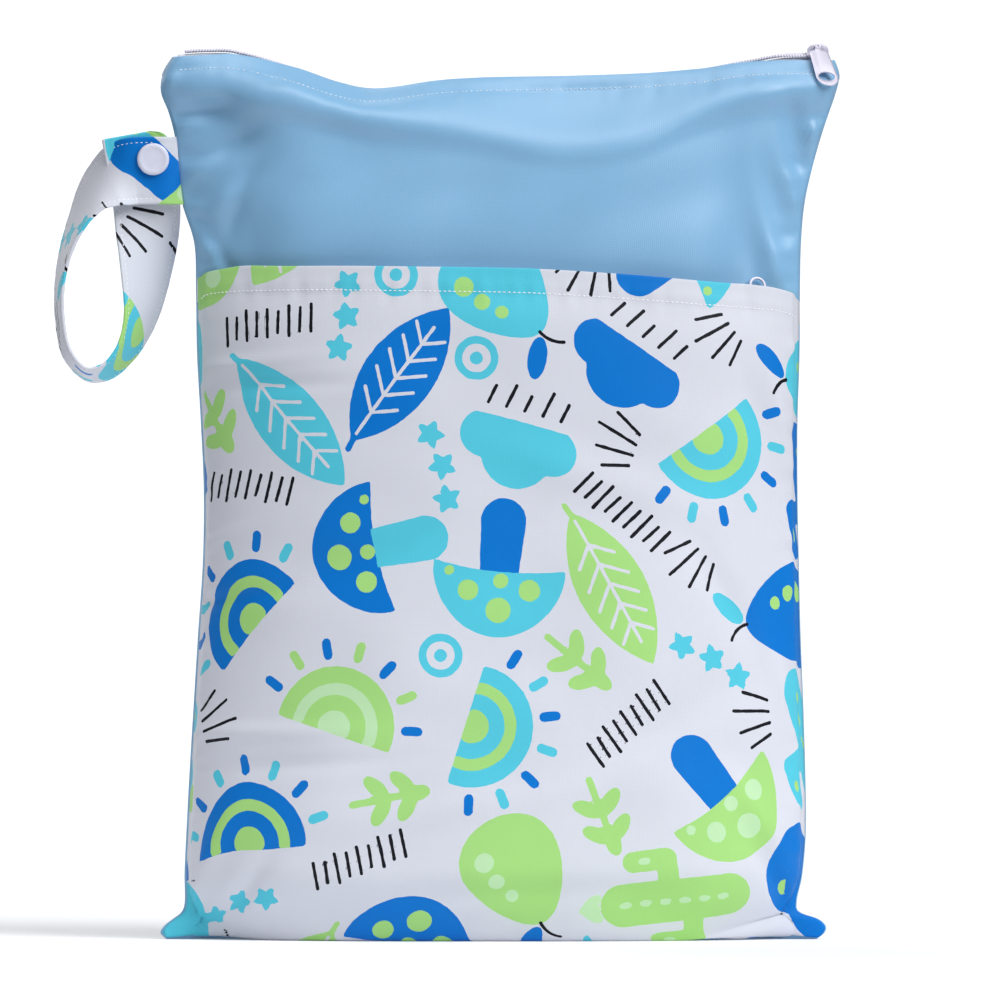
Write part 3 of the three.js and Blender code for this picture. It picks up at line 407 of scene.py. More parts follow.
def seam_gathers(seed, s, z):
    """Gathers that run in from both side seams."""
    from_seam = (1 - np.abs(s)) * HALF_WIDTH
    left = puckers(seed, z + 2 * s, 15.0)
    right = puckers(seed + 1, z, 17.0)
    return 1.1 * np.where(s < 0, left, right) * np.exp(-((from_seam - 5) / 7.0) ** 2)


def select_only(piece):
    bpy.ops.object.select_all(action="DESELECT")
    piece.select_set(True)
    bpy.context.view_layer.objects.active = piece


def apply_modifier(piece, kind, **settings):
    """Adds a modifier with its settings and applies it."""
    select_only(piece)
    modifier = piece.modifiers.new(kind.title(), kind)
    for name, value in settings.items():
        setattr(modifier, name, value)
    bpy.ops.object.modifier_apply(modifier=modifier.name)


def face_outwards(piece, merge=None):
    """Turns a mesh's faces outwards, after merging doubles that lie closer than a distance."""
    select_only(piece)
    bpy.ops.object.mode_set(mode="EDIT")
    bpy.ops.mesh.select_all(action="SELECT")
    if merge:
        bpy.ops.mesh.remove_doubles(threshold=merge)
    bpy.ops.mesh.normals_make_consistent(inside=False)
    bpy.ops.object.mode_set(mode="OBJECT")
    return piece


def close_mesh(piece):
    """Merges doubles, closes open ends and turns the faces outwards."""
    select_only(piece)
    bpy.ops.object.mode_set(mode="EDIT")
    bpy.ops.mesh.select_all(action="SELECT")
    bpy.ops.mesh.remove_doubles(threshold=0.02 * MM)
    bpy.ops.mesh.select_all(action="DESELECT")
    bpy.ops.mesh.select_mode(type="EDGE")
    bpy.ops.mesh.select_non_manifold()
    bpy.ops.mesh.edge_face_add()
    bpy.ops.object.mode_set(mode="OBJECT")
    face_outwards(piece)


def finish_piece(piece, body, *, replaces=()):
    """Hands a finished piece over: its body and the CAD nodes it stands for."""
    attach(piece, body)
    if replaces:
        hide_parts(*replaces)
    return piece


def cloth_grid(name, points, place, mirrored=False):
    """A grid primitive moved to rows of points, with its place on the flat cloth as its UV map."""
    rows, columns = points.shape[:2]
    if mirrored:
        points, place = points[:, ::-1], place[:, ::-1]
    bpy.ops.object.select_all(action="DESELECT")
    bpy.ops.mesh.primitive_grid_add(x_subdivisions=columns - 1, y_subdivisions=rows - 1, size=1)
    piece = bpy.context.object
    piece.name = name
    mesh = piece.data
    mesh.vertices.foreach_set("co", (points * MM).ravel())
    corner = np.zeros(len(mesh.loops), int)
    mesh.loops.foreach_get("vertex_index", corner)
    mesh.uv_layers[0].name = "cloth"
    mesh.uv_layers[0].data.foreach_set("uv", (place.reshape(-1, 2)[corner] * MM).ravel())
    mesh.update()
    bpy.ops.object.shade_smooth()
    return piece


def flat_place(points, hang=False):
    """Place of each point on the flat cloth: along each row from the middle, and along each column
    from the lowest row or, for a cloth that hangs, down from its highest one."""
    u = run_length(points.swapaxes(0, 1)).T
    u = u - u[:, points.shape[1] // 2][:, None]
    v = run_length(points)
    if hang:
        v = v + np.max(v[-1]) - v[-1]
    return np.stack((u, v), axis=-1)


def give_thickness(piece, thick, outer, inner):
    """Makes a sheet a closed cloth of its own, with a material on each side."""
    piece.data.materials.append(outer)
    piece.data.materials.append(inner)
    apply_modifier(piece, "SOLIDIFY", thickness=thick * MM, offset=-1, use_rim=True, material_offset=1)


# Print on the pale cloth: generic motifs tossed over one repeat. Sizes in millimetres.
PRINT_REPEAT = np.array((330.0, 350.0))
PRINT_SEED = 11
PRINT_GAP = 2.8  # clear ground between motifs
PRINT_TRIES = 6000
STROKE_HALF = 0.75  # half the width of a brush stroke
FAR = 50.0


def far_from(p, centre, radius):
    return np.linalg.norm(p - np.array(centre), axis=-1) - radius


def oval(p, half_wide, half_tall, narrow=0.0):
    """Distance to an egg-shaped oval, narrower at its top by a share."""
    q = p / np.array((half_wide, half_tall))
    q = np.stack((q[..., 0] / (1 - narrow * np.clip(q[..., 1], -1, 1)), q[..., 1]), axis=-1)
    reach = np.linalg.norm(q, axis=-1) + 1e-9
    steep = np.linalg.norm(q / np.array((half_wide, half_tall)), axis=-1) + 1e-9
    return reach * (reach - 1) / steep


def bar(p, start, end, width):
    """Distance to a bar with round ends."""
    return stroke(p, start, end)[..., 2] - width / 2


def stroke(p, start, end):
    """A stroke's sideways offset, reach past its ends, and distance."""
    start, end = np.array(start, float), np.array(end, float)
    long = np.linalg.norm(end - start)
    ahead = (end - start) / long
    q = p - (start + end) / 2
    side = q @ np.array((-ahead[1], ahead[0]))
    past = np.abs(q @ ahead) - long / 2
    return np.stack((side, past, np.hypot(side, np.maximum(past, 0))), axis=-1)


def bend(p, centre, radius, start, end):
    """The same for a stroke bent round a centre, between two angles in degrees from the right."""
    q = p - np.array(centre)
    middle, half = math.radians((start + end) / 2), math.radians(abs(end - start) / 2)
    turn = (np.arctan2(q[..., 1], q[..., 0]) - middle + math.pi) % (2 * math.pi) - math.pi
    side = np.linalg.norm(q, axis=-1) - radius
    past = (np.abs(turn) - half) * radius
    return np.stack((side, past, np.hypot(side, np.maximum(past, 0))), axis=-1)


def turned(p, angle):
    c, s = math.cos(angle), math.sin(angle)
    return np.stack((p[..., 0] * c + p[..., 1] * s, p[..., 1] * c - p[..., 0] * s), axis=-1)


SECOND_INK = {"blue": "green", "cyan": "green", "green": "pale"}
THIRD_INK = {"blue": "cyan", "cyan": "blue", "green": "blue"}


def mushroom(p, ink):
    """A mushroom with a dotted cap."""
    yield THIRD_INK[ink], np.maximum(bar(p, (0, -24), (0, 6), 17 - 0.12 * p[..., 1]), p[..., 1] + 1.2)
    yield ink, np.maximum(oval(p, 29, 27, 0.12), -p[..., 1] - 2 - 0.004 * p[..., 0] ** 2)
    for centre, radius in (((-14, 5), 4.8), ((-1, 15), 5.6), ((13, 7), 4.6), ((-1, 2), 3.4), ((22, -1), 2.2)):
        yield SECOND_INK[ink], far_from(p, centre, radius)


def pear(p, ink):
    """A pear with a stem, a leaf and three dots down its side."""
    yield ink, oval(p - np.array((0, -5)), 21.5, 27, 0.3)
    for centre, radius in (((10.5, -16), 4.4), ((9.5, -5.5), 3.7), ((6.5, 4), 3.0)):
        yield SECOND_INK[ink], far_from(p, centre, radius)
    yield "black", bend(p, (-12, 22), 12.5, -2, 52)
    yield THIRD_INK[ink], oval(turned(p - np.array((9.5, 29)), -0.95), 4.2, 9.5)


def cactus(p, ink):
    """A cactus with two arms, spines and a bud."""
    shape = bar(p, (0, -27), (0, 22), 21)
    for way, foot, top in ((-1, -9, 8), (1, 0, 15)):
        elbow = (way * 20, foot)
        arm = np.minimum(bar(p, (0, foot), elbow, 9.5), bar(p, elbow, (way * 20, top), 9.5))
        shape = np.minimum(shape, arm)
    yield ink, shape
    for x, y in ((0, 21), (0, 12), (0, 3), (0, -6), (0, -15), (0, -24), (-20, 4), (20, 10)):
        yield SECOND_INK[ink], oval(p - np.array((x, y)), 1.6, 3.0)
    for way in (-1, 0, 1):
        yield SECOND_INK[ink], oval(turned(p - np.array((way * 3.2, 37 - abs(way))), way * 0.6), 2.7, 5.2)


def sunrise(p, ink):
    """Half a sun of three bands, with rays."""
    q = p - np.array((0, -12))
    cut = -q[..., 1] - 3
    far = far_from(q, (0, 0), 0)
    yield ink, np.maximum(far - 27, cut)
    yield SECOND_INK[ink], np.maximum(np.abs(far - 17) - 2.6, cut)
    yield SECOND_INK[ink], np.maximum(far - 7.5, cut)
    for k in range(7):
        ray = turned(q, math.radians(-75 + 150 * k / 6))
        yield (ink if k % 2 else THIRD_INK[ink]), bar(ray, (0, 32), (0, 37.5), 4.2)


def leaf(p, ink):
    """A long leaf with bare veins."""
    bow, tall = 52.0, np.abs(p[..., 0])
    shape = np.linalg.norm(np.stack((tall + bow - 15.5, p[..., 1]), axis=-1), axis=-1) - bow
    yield ink, np.minimum(shape, bar(p, (0, -34), (1, -41), 2.6))
    yield "bare", stroke(p, (0, -33), (0, 26))
    for k in range(5):
        foot = -21 + 9.5 * k
        reach = 10.5 - 1.1 * abs(k - 1.5)
        for way in (-1, 1):
            yield "vein", stroke(p, (way * 0.4, foot), (way * reach, foot + 0.85 * reach))


def cloud(p, ink):
    """A cloud and its rain."""
    shape = np.minimum(far_from(p, (-15, 4), 11), far_from(p, (15.5, 3.5), 10.5))
    shape = np.minimum(shape, far_from(p, (0, 9), 15.5))
    yield ink, np.maximum(np.minimum(shape, bar(p, (-14, 0), (15, 0), 14)), -p[..., 1] - 5.5)
    for k, high in enumerate((8, 11, 7, 10, 8)):
        x = 8.2 * (k - 2)
        yield "black", stroke(p, (x, -10.5), (x - 0.25 * high, -10.5 - high))


def twig(p, ink):
    """A twig with two pairs of leaves."""
    shape = bar(p, (0, -15), (0, 13), 3.2)
    for way in (-1, 1):
        for foot in (-8, 4):
            q = turned(p - np.array((way * 5.4, foot + 5)), way * 0.9)
            shape = np.minimum(shape, oval(q, 3.4, 7.0))
    yield ink, np.minimum(shape, oval(p - np.array((0, 14)), 3.5, 6.4))


def grass(p, ink):
    """A tuft of grass in brush strokes."""
    for k, high in enumerate((11, 16, 18, 12)):
        lean, foot = (k - 1.5) * 0.3, 5.0 * (k - 1.5)
        yield "black", stroke(p, (foot, -8), (foot + high * math.sin(lean), high - 8))


def rain(p, ink):
    """A row of slanting strokes."""
    for k in range(9):
        x, high = 5.2 * (k - 4), (6.0, 4.6, 6.6, 5.2)[k % 4]
        yield "black", stroke(p, (x - 0.9, -high), (x + 0.9, high))


def stars(p, ink):
    """Three five-pointed stars in a row."""
    for k in (-1, 0, 1):
        q = turned(p - np.array((14.6 * k, 1.5 * (k % 2))), 0.3 * k)
        angle = np.arctan2(q[..., 0], q[..., 1])
        wave = np.abs((angle * 5 / (2 * math.pi) + 0.5) % 1 - 0.5) * 2
        yield ink, (np.linalg.norm(q, axis=-1) - mix(6.7, 3.2, wave)) * 0.75


def hoops(p, ink):
    """Two rings, one in the other."""
    yield ink, np.abs(far_from(p, (0, 0), 8.0)) - 1.7
    yield ink, far_from(p, (0, 0), 2.9)


# Each motif with the rounds that it keeps clear, as (x, y, radius).
MOTIFS = {
    mushroom: ((0, 3, 26), (-20, 4, 10), (20, 4, 10), (0, -16, 11), (0, -23, 10)),
    pear: ((0, -10, 22), (0, 10, 14), (10, 29, 9.5), (1, 26, 8)),
    cactus: ((0, -27, 11), (0, -10, 12), (0, 6, 12), (0, 20, 11.5), (0, 36, 7), (-19, 0, 9.5), (19, 6, 10)),
    sunrise: ((0, 5, 31), (-22, -6, 15), (22, -6, 15)),
    leaf: ((0, -26, 9), (0, -10, 15), (0, 8, 16), (0, 25, 9), (0, -38, 3)),
    cloud: ((-15, 3, 12), (0, 8, 16.5), (15, 3, 12), (-13, -12, 8), (0, -13, 9), (13, -12, 8)),
    twig: ((0, -6, 11), (0, 9, 11)),
    grass: ((0, -2, 10), (0, 4, 10)),
    rain: ((-18, 0, 7), (-9, 0, 7.2), (0, 0, 7.2), (9, 0, 7.2), (18, 0, 7)),
    stars: ((-14.6, 0, 8), (0, 1, 8), (14.6, 0, 8)),
    hoops: ((0, 0, 9.8),),
}
PRINT_ORDER = (
    [(motif, ink) for ink in ("blue", "cyan", "green") for motif in (sunrise, mushroom, cactus, pear)]
    + [(leaf, ink) for ink in ("green", "cyan", "blue", "green")]
    + [(motif, ink) for ink in ("blue", "cyan", "green") for motif in (mushroom, pear, sunrise)]
    + [(cloud, ink) for ink in ("cyan", "blue", "cyan", "green")]
    + [(cactus, ink) for ink in ("green", "blue", "cyan")]
    + [(rain, "black")] * 5
    + [(stars, "cyan")] * 5
    + [(twig, "green")] * 8
    + [(rain, "black")] * 4
    + [(grass, "black")] * 6
    + [(hoops, "cyan")] * 6
)
FILLED_INKS = ("blue", "cyan", "green", "pale")
STROKE_INKS = ("bare", "vein", "black")


def lay_out_print():
    """Tosses the motifs over one repeat, each as close to its neighbours as it may be."""
    rng = np.random.default_rng(PRINT_SEED)
    taken = np.zeros((0, 3))
    placed = []
    for motif, ink in PRINT_ORDER:
        rounds = np.array(MOTIFS[motif], float)
        middles = rng.uniform((0, 0), PRINT_REPEAT, (PRINT_TRIES, 2))
        turns = rng.uniform(-math.pi, math.pi, PRINT_TRIES)
        c, s = np.cos(turns)[:, None], np.sin(turns)[:, None]
        x = middles[:, :1] + rounds[:, 0] * c - rounds[:, 1] * s
        y = middles[:, 1:] + rounds[:, 0] * s + rounds[:, 1] * c
        room = np.full(PRINT_TRIES, 60.0)
        for ox, oy, radius in taken:
            dx = (x - ox + PRINT_REPEAT[0] / 2) % PRINT_REPEAT[0] - PRINT_REPEAT[0] / 2
            dy = (y - oy + PRINT_REPEAT[1] / 2) % PRINT_REPEAT[1] - PRINT_REPEAT[1] / 2
            room = np.minimum(room, (np.hypot(dx, dy) - radius - rounds[:, 2]).min(axis=1))
        fits = np.where(room >= PRINT_GAP, room, 1e9)
        best = int(np.argmin(fits))
        if fits[best] > 1e8:
            continue
        placed.append((motif, ink, middles[best], turns[best]))
        taken = np.vstack((taken, np.column_stack((x[best], y[best], rounds[:, 2]))))
    return placed


PRINT = lay_out_print()


def printed(piece, place, shift=(0, 0), spots=()):
    """Writes the print's attributes: each filled ink's distance to its nearest edge, negative inside,
    and for each ink drawn in strokes the nearest stroke's offset, reach past its ends and distance.
    A spot is a plain patch of one ink over the rest, given as the ink and its distance."""
    at = place.reshape(-1, 2) + np.array(shift)
    fields = {ink: np.full(len(at), 5.0) for ink in FILLED_INKS}
    fields.update({ink: np.full((len(at), 3), FAR) for ink in STROKE_INKS})
    for motif, ink, middle, turn in PRINT:
        away = (at - middle + PRINT_REPEAT / 2) % PRINT_REPEAT - PRINT_REPEAT / 2
        near = np.flatnonzero(np.hypot(*away.T) < FAR)
        for name, drawn in motif(turned(away[near], turn), ink):
            if drawn.ndim == 1:
                fields[name][near] = np.minimum(fields[name][near], drawn)
            else:
                closer = drawn[:, 2] < fields[name][near, 2]
                fields[name][near[closer]] = drawn[closer]
    for spot_ink, spot in spots:
        for ink in FILLED_INKS:
            fields[ink] = np.maximum(fields[ink], -spot.ravel())
        for ink in STROKE_INKS:
            fields[ink][spot.ravel() < 1] = FAR
        fields[spot_ink] = np.minimum(fields[spot_ink], spot.ravel())
    for ink, field in fields.items():
        kind = "FLOAT" if ink in FILLED_INKS else "FLOAT_VECTOR"
        attribute = piece.data.attributes.new("ink_" + ink, kind, "POINT")
        attribute.data.foreach_set("value" if kind == "FLOAT" else "vector", field.astype(np.float32).ravel())


def linear(code):
    """An sRGB hex colour as linear red, green, blue and alpha."""
    channels = [int(code[i : i + 2], 16) / 255 for i in (1, 3, 5)]
    return (*(c / 12.92 if c <= 0.04045 else ((c + 0.055) / 1.055) ** 2.4 for c in channels), 1.0)


def node(material, kind, inputs=(), **settings):
    """Adds a shader node with its settings, and fills or links its inputs by name or number."""
    made = material.node_tree.nodes.new("ShaderNode" + kind)
    for name, value in settings.items():
        setattr(made, name, value)
    for name, value in dict(inputs).items():
        if isinstance(value, bpy.types.Node):
            value = value.outputs[0]
        if isinstance(value, bpy.types.NodeSocket):
            material.node_tree.links.new(value, made.inputs[name])
        else:
            made.inputs[name].default_value = value
    return made


def new_material(name, **surface):
    """A material with its surface's fixed values."""
    material = bpy.data.materials.new(name)
    material.use_nodes = True
    shader = material.node_tree.nodes["Principled BSDF"]
    for socket, value in surface.items():
        shader.inputs[socket.replace("_", " ")].default_value = value
    return material, shader


def finish_surface(material, shader, colour, height, strength, deep):
    """Gives a surface its colour and its relief, whose depth is in millimetres."""
    relief = node(material, "Bump", {"Height": height, "Strength": strength, "Distance": deep * MM})
    material.node_tree.links.new(colour, shader.inputs["Base Color"])
    material.node_tree.links.new(relief.outputs[0], shader.inputs["Normal"])


# A noise texture's scale is one over the size of its patches in metres: 60 for slubs of 17 mm.
WAVE = 2 * math.pi / 20  # a wave texture's scale is this over its period
KNIT_PITCH = 0.9  # loops of the knit, drawn about twice as coarse as they are so that they show


def knit_face(material, shader, colour):
    """Laminated polyester knit: fine ribs of loops, soft slubs and a satin face."""
    place = node(material, "UVMap", uv_map="cloth")
    ribs = node(material, "TexWave", {"Vector": place, "Scale": WAVE / (KNIT_PITCH * MM), "Distortion": 1.2,
                "Detail": 1.0, "Detail Scale": 2.0}, bands_direction="X")
    loops = node(material, "TexWave", {"Vector": place, "Scale": WAVE / (KNIT_PITCH * MM), "Distortion": 1.0,
                 "Detail": 1.0, "Detail Scale": 2.0}, bands_direction="Y")
    weave = node(material, "Math", {0: ribs.outputs["Fac"], 1: loops.outputs["Fac"]}, operation="ADD")
    slub = node(material, "TexNoise", {"Vector": place, "Scale": 60.0, "Detail": 3.0, "Roughness": 0.6})
    height = node(material, "Math", {0: slub.outputs["Fac"], 1: 3.0, 2: weave}, operation="MULTIPLY_ADD")
    cloudy = node(material, "TexNoise", {"Vector": place, "Scale": 22.0, "Detail": 2.0})
    dull = node(material, "MapRange", {"Value": cloudy.outputs["Fac"], "To Min": 0.955, "To Max": 1.045})
    tone = node(material, "Mix", {0: 1.0, 6: colour, 7: dull}, data_type="RGBA", blend_type="MULTIPLY")
    finish_surface(material, shader, tone.outputs[2], height, 0.16, 0.12)


def blue_knit():
    """Plain light blue laminated knit: its satin face lifts to a paler blue where it turns to the light."""
    material, shader = new_material("light_blue_laminated_knit", Roughness=0.42, Sheen_Weight=0.2,
                                    Sheen_Roughness=0.4, Specular_IOR_Level=0.8)
    shader.inputs["Sheen Tint"].default_value = linear("#CFE2F4")
    knit_face(material, shader, linear("#82B5DC"))
    return material


INK_COLOURS = {
    "blue": "#0072C9", "cyan": "#52C4DA", "green": "#A2D67D", "pale": "#BAE0B0", "black": "#10111A",
}
GROUND = "#D2D5DF"


def printed_knit():
    """White laminated knit with pigment print: flat bright inks with crisp edges, and the same satin face."""
    material, shader = new_material("printed_laminated_knit", Roughness=0.5, Sheen_Weight=0.03,
                                    Sheen_Roughness=0.45, Specular_IOR_Level=0.14)
    place = node(material, "UVMap", uv_map="cloth")
    uneven = node(material, "TexNoise", {"Vector": place, "Scale": 260.0, "Detail": 1.0})
    wobble = node(material, "MapRange", {"Value": uneven.outputs["Fac"], "To Min": -0.3, "To Max": 0.3})
    colour = linear(GROUND)
    for ink in FILLED_INKS:
        edge = node(material, "Attribute", attribute_name="ink_" + ink)
        inside = node(material, "Math", {0: edge.outputs["Fac"], 1: wobble.outputs[0]}, operation="LESS_THAN")
        paint = linear(INK_COLOURS[ink])
        colour = node(material, "Mix", {0: inside, 6: colour, 7: paint}, data_type="RGBA").outputs[2]
    for ink in STROKE_INKS:
        edge = node(material, "Attribute", attribute_name="ink_" + ink)
        parts = node(material, "SeparateXYZ", {0: edge.outputs["Vector"]})
        past = node(material, "Math", {0: parts.outputs[1], 1: 0.0}, operation="MAXIMUM")
        away = node(material, "CombineXYZ", {0: parts.outputs[0], 1: past})
        reach = node(material, "VectorMath", {0: away}, operation="LENGTH")
        brush = node(material, "Math", {0: wobble.outputs[0], 1: STROKE_HALF}, operation="ADD")
        within = node(material, "Math", {0: reach.outputs["Value"], 1: brush}, operation="LESS_THAN")
        near = node(material, "Math", {0: parts.outputs[2], 1: STROKE_HALF + 0.5}, operation="LESS_THAN")
        inside = node(material, "Math", {0: within, 1: near}, operation="MULTIPLY")
        paint = linear(INK_COLOURS.get(ink, GROUND))
        colour = node(material, "Mix", {0: inside, 6: colour, 7: paint}, data_type="RGBA").outputs[2]
    knit_face(material, shader, colour)
    return material


def laminate():
    """Polyurethane film on the cloth's inner side: milky white, faintly glossy."""
    material, shader = new_material("white_polyurethane_laminate", Roughness=0.34, Specular_IOR_Level=0.5)
    place = node(material, "TexCoord")
    mottle = node(material, "TexNoise", {"Vector": place.outputs["Object"], "Scale": 180.0, "Detail": 3.0})
    tone = node(material, "ValToRGB", {"Fac": mottle.outputs["Fac"]})
    tone.color_ramp.elements[0].color = linear("#E6E8EF")
    tone.color_ramp.elements[1].color = linear("#F3F4F8")
    finish_surface(material, shader, tone.outputs[0], mottle.outputs["Fac"], 0.12, 0.1)
    return material


def woven_tape():
    """Woven polyester zip tape: matt white, with a fine diagonal rib."""
    material, shader = new_material("woven_polyester_tape", Roughness=0.75, Sheen_Weight=0.2)
    place = node(material, "TexCoord")
    rib = node(material, "TexWave", {"Vector": place.outputs["Object"], "Scale": WAVE / (1.0 * MM),
               "Distortion": 0.6}, bands_direction="DIAGONAL")
    tone = node(material, "ValToRGB", {"Fac": rib.outputs["Fac"]})
    tone.color_ramp.elements[0].color = linear("#DFE1EC")
    tone.color_ramp.elements[1].color = linear("#F4F4FA")
    finish_surface(material, shader, tone.outputs[0], rib.outputs["Fac"], 0.3, 0.15)
    return material


def plain_resin(name, low, high, roughness, coat):
    """A moulded or enamelled piece: nearly even colour, soft gloss and the faintest orange peel."""
    material, shader = new_material(name, Roughness=roughness, Coat_Weight=coat, Coat_Roughness=0.12,
                                    Specular_IOR_Level=0.5)
    place = node(material, "TexCoord")
    peel = node(material, "TexNoise", {"Vector": place.outputs["Object"], "Scale": 900.0, "Detail": 2.0})
    shade = node(material, "TexNoise", {"Vector": place.outputs["Object"], "Scale": 120.0})
    tone = node(material, "ValToRGB", {"Fac": shade.outputs["Fac"]})
    tone.color_ramp.elements[0].position = 0.3
    tone.color_ramp.elements[1].position = 0.7
    tone.color_ramp.elements[0].color = linear(low)
    tone.color_ramp.elements[1].color = linear(high)
    finish_surface(material, shader, tone.outputs[0], peel.outputs["Fac"], 0.1, 0.04)
    return material


def thread(name, code):
    """Spun polyester thread: two plies as fine slanting lines, bumped as relief, with white painted along
    them as painted highlights.
    """
    material, shader = new_material(name, Roughness=0.55, Sheen_Weight=0.3)
    place = node(material, "TexCoord")
    plies = node(material, "TexWave", {"Vector": place.outputs["Object"], "Scale": WAVE / (0.8 * MM)},
                 bands_direction="DIAGONAL")
    # Painted highlight: the ply wave mixes the thread's colour toward white along the slanting plies.
    ply_highlight_mix = {0: plies.outputs["Fac"], 6: linear(code), 7: linear("#FFFFFF")}
    tone = node(material, "Mix", ply_highlight_mix, data_type="RGBA")
    finish_surface(material, shader, tone.outputs[2], plies.outputs["Fac"], 0.3, 0.05)
    return material


BLUE_KNIT = blue_knit()
PRINTED_KNIT = printed_knit()
LAMINATE = laminate()
TAPE_WEAVE = woven_tape()
COIL_RESIN = plain_resin("white_nylon_coil", "#DCDAE8", "#EAE8F3", 0.42, 0.0)
ENAMEL = plain_resin("white_enamelled_zinc", "#DAD7EA", "#E6E3F2", 0.28, 0.35)
SNAP_RESIN = plain_resin("lilac_white_acetal", "#CFD3E6", "#DEDFEF", 0.36, 0.0)
BLUE_THREAD = thread("pale_blue_thread", "#8FBDDF")
WHITE_THREAD = thread("white_thread", "#E9EAF3")

# The photograph's view: straight at the front, from far away. The picture has PIXEL mm to a
# pixel and is PICTURE pixels wide and high, with the floor line at pixel row FLOOR_ROW.
PIXEL = 0.4408
PICTURE = 1000
FLOOR_ROW = 942
CAMERA_AWAY = 8000.0
CAMERA_RISE = math.radians(0.35)
SENSOR = 36.0
FLOOR_HALF = 0.75


def set_camera():
    data = bpy.data.cameras.new("camera")
    data.sensor_width = SENSOR
    data.lens = SENSOR * CAMERA_AWAY / (PICTURE * PIXEL)
    data.clip_end = 100
    camera = bpy.data.objects.new("camera", data)
    bpy.context.scene.collection.objects.link(camera)
    middle = Vector((0, -FRONT_DEPTH * MM, (FLOOR_ROW - PICTURE / 2) * PIXEL * MM))
    back = Vector((0, -math.cos(CAMERA_RISE), math.sin(CAMERA_RISE)))
    camera.location = middle + back * CAMERA_AWAY * MM
    camera.rotation_mode = "QUATERNION"
    camera.rotation_quaternion = (-back).to_track_quat("-Z", "Y")
    bpy.context.scene.camera = camera


def soft_sun(name, towards, strength, spread):
    """A far, wide softbox: its light is the same over the whole floor."""
    data = bpy.data.lights.new(name, "SUN")
    data.energy, data.angle = strength, math.radians(spread)
    lamp = bpy.data.objects.new(name, data)
    bpy.context.scene.collection.objects.link(lamp)
    lamp.rotation_mode = "QUATERNION"
    lamp.rotation_quaternion = Vector(towards).to_track_quat("-Z", "Y")


def set_studio():
    """Pale floor, a white room to look into and a dimmer one that lights the object."""
    world = bpy.data.worlds.new("studio")
    world.use_nodes = True
    nodes, links = world.node_tree.nodes, world.node_tree.links
    nodes["Background"].inputs["Color"].default_value = linear("#F6F8FC")
    ray = nodes.new("ShaderNodeLightPath")
    seen = nodes.new("ShaderNodeMapRange")
    seen.inputs["To Min"].default_value = 0.2
    seen.inputs["To Max"].default_value = 1.2
    links.new(ray.outputs["Is Camera Ray"], seen.inputs["Value"])
    links.new(seen.outputs[0], nodes["Background"].inputs["Strength"])
    bpy.context.scene.world = world
    bpy.context.scene.view_settings.view_transform = "Standard"
    soft_sun("key", (-0.62, 0.56, -0.58), 2.15, 34)
    soft_sun("top", (0.0, 0.36, -0.93), 1.25, 40)
    soft_sun("back", (0.5, -0.9, -0.6), 1.1, 60)

    bpy.ops.object.select_all(action="DESELECT")
    bpy.ops.mesh.primitive_plane_add(size=1)
    floor = bpy.context.object
    floor.name = "floor"
    for vertex, corner in zip(floor.data.vertices, ((-1, -1, 0), (1, -1, 0), (-1, 1, 0), (1, 1, 0))):
        vertex.co = FLOOR_HALF * Vector(corner)
    material, shader = new_material("pale_floor_paper", Roughness=0.9, Specular_IOR_Level=0.1)
    shader.inputs["Base Color"].default_value = linear("#F2F2F5")
    shader.inputs["Emission Color"].default_value = linear("#FAFAFC")
    shader.inputs["Emission Strength"].default_value = 0.1
    floor.data.materials.append(material)


set_camera()
set_studio()


HEM_STITCH = 6.5  # top hem's edge to its topstitch
HEM_TURN = 8.0  # depth of the cloth folded in along the top zip
FOLD_STEPS, TURN_STEPS = 6, 4
BROW_STAND = 2.6  # how far the front stands out under the band that leans back to the zip
FRONT_PITCH, BACK_PITCH, POCKET_PITCH = 2.1, 1.75, 1.42  # meshes, finer where a print is seen close
LOWEST = 0.1  # no point of the cloth dips below this
FOOT_ROWS = 25  # rows evened out round the pocket's foot
GROOVE = 1.1  # half width of the groove that a row of stitches draws


def fold_over(rows, side, s, height, turn):
    """Adds a folded hem to the rows of a panel: round its edge and down its inner side. Returns the
    rows, and how far each station is moved outwards and up."""
    angles = np.linspace(0, math.pi, FOLD_STEPS + 1)[1:]
    depths = np.linspace(0, turn, TURN_STEPS + 1)[1:]
    edge = row_at(side, s, height - FOLD_ROUND)
    inner = row_at(side, np.broadcast_to(s, (TURN_STEPS, s.shape[1])), height - FOLD_ROUND - depths[:, None])
    stations = len(rows)
    rows = np.concatenate((rows, np.repeat(edge, FOLD_STEPS, axis=0), inner))
    flat, down = np.zeros(stations), np.full(TURN_STEPS, -2 * FOLD_ROUND)
    out = np.concatenate((flat, FOLD_ROUND * (np.cos(angles) - 1), down))
    lift = np.concatenate((flat, FOLD_ROUND * np.sin(angles), 0 * down))
    return rows, out[:, None], lift[:, None]


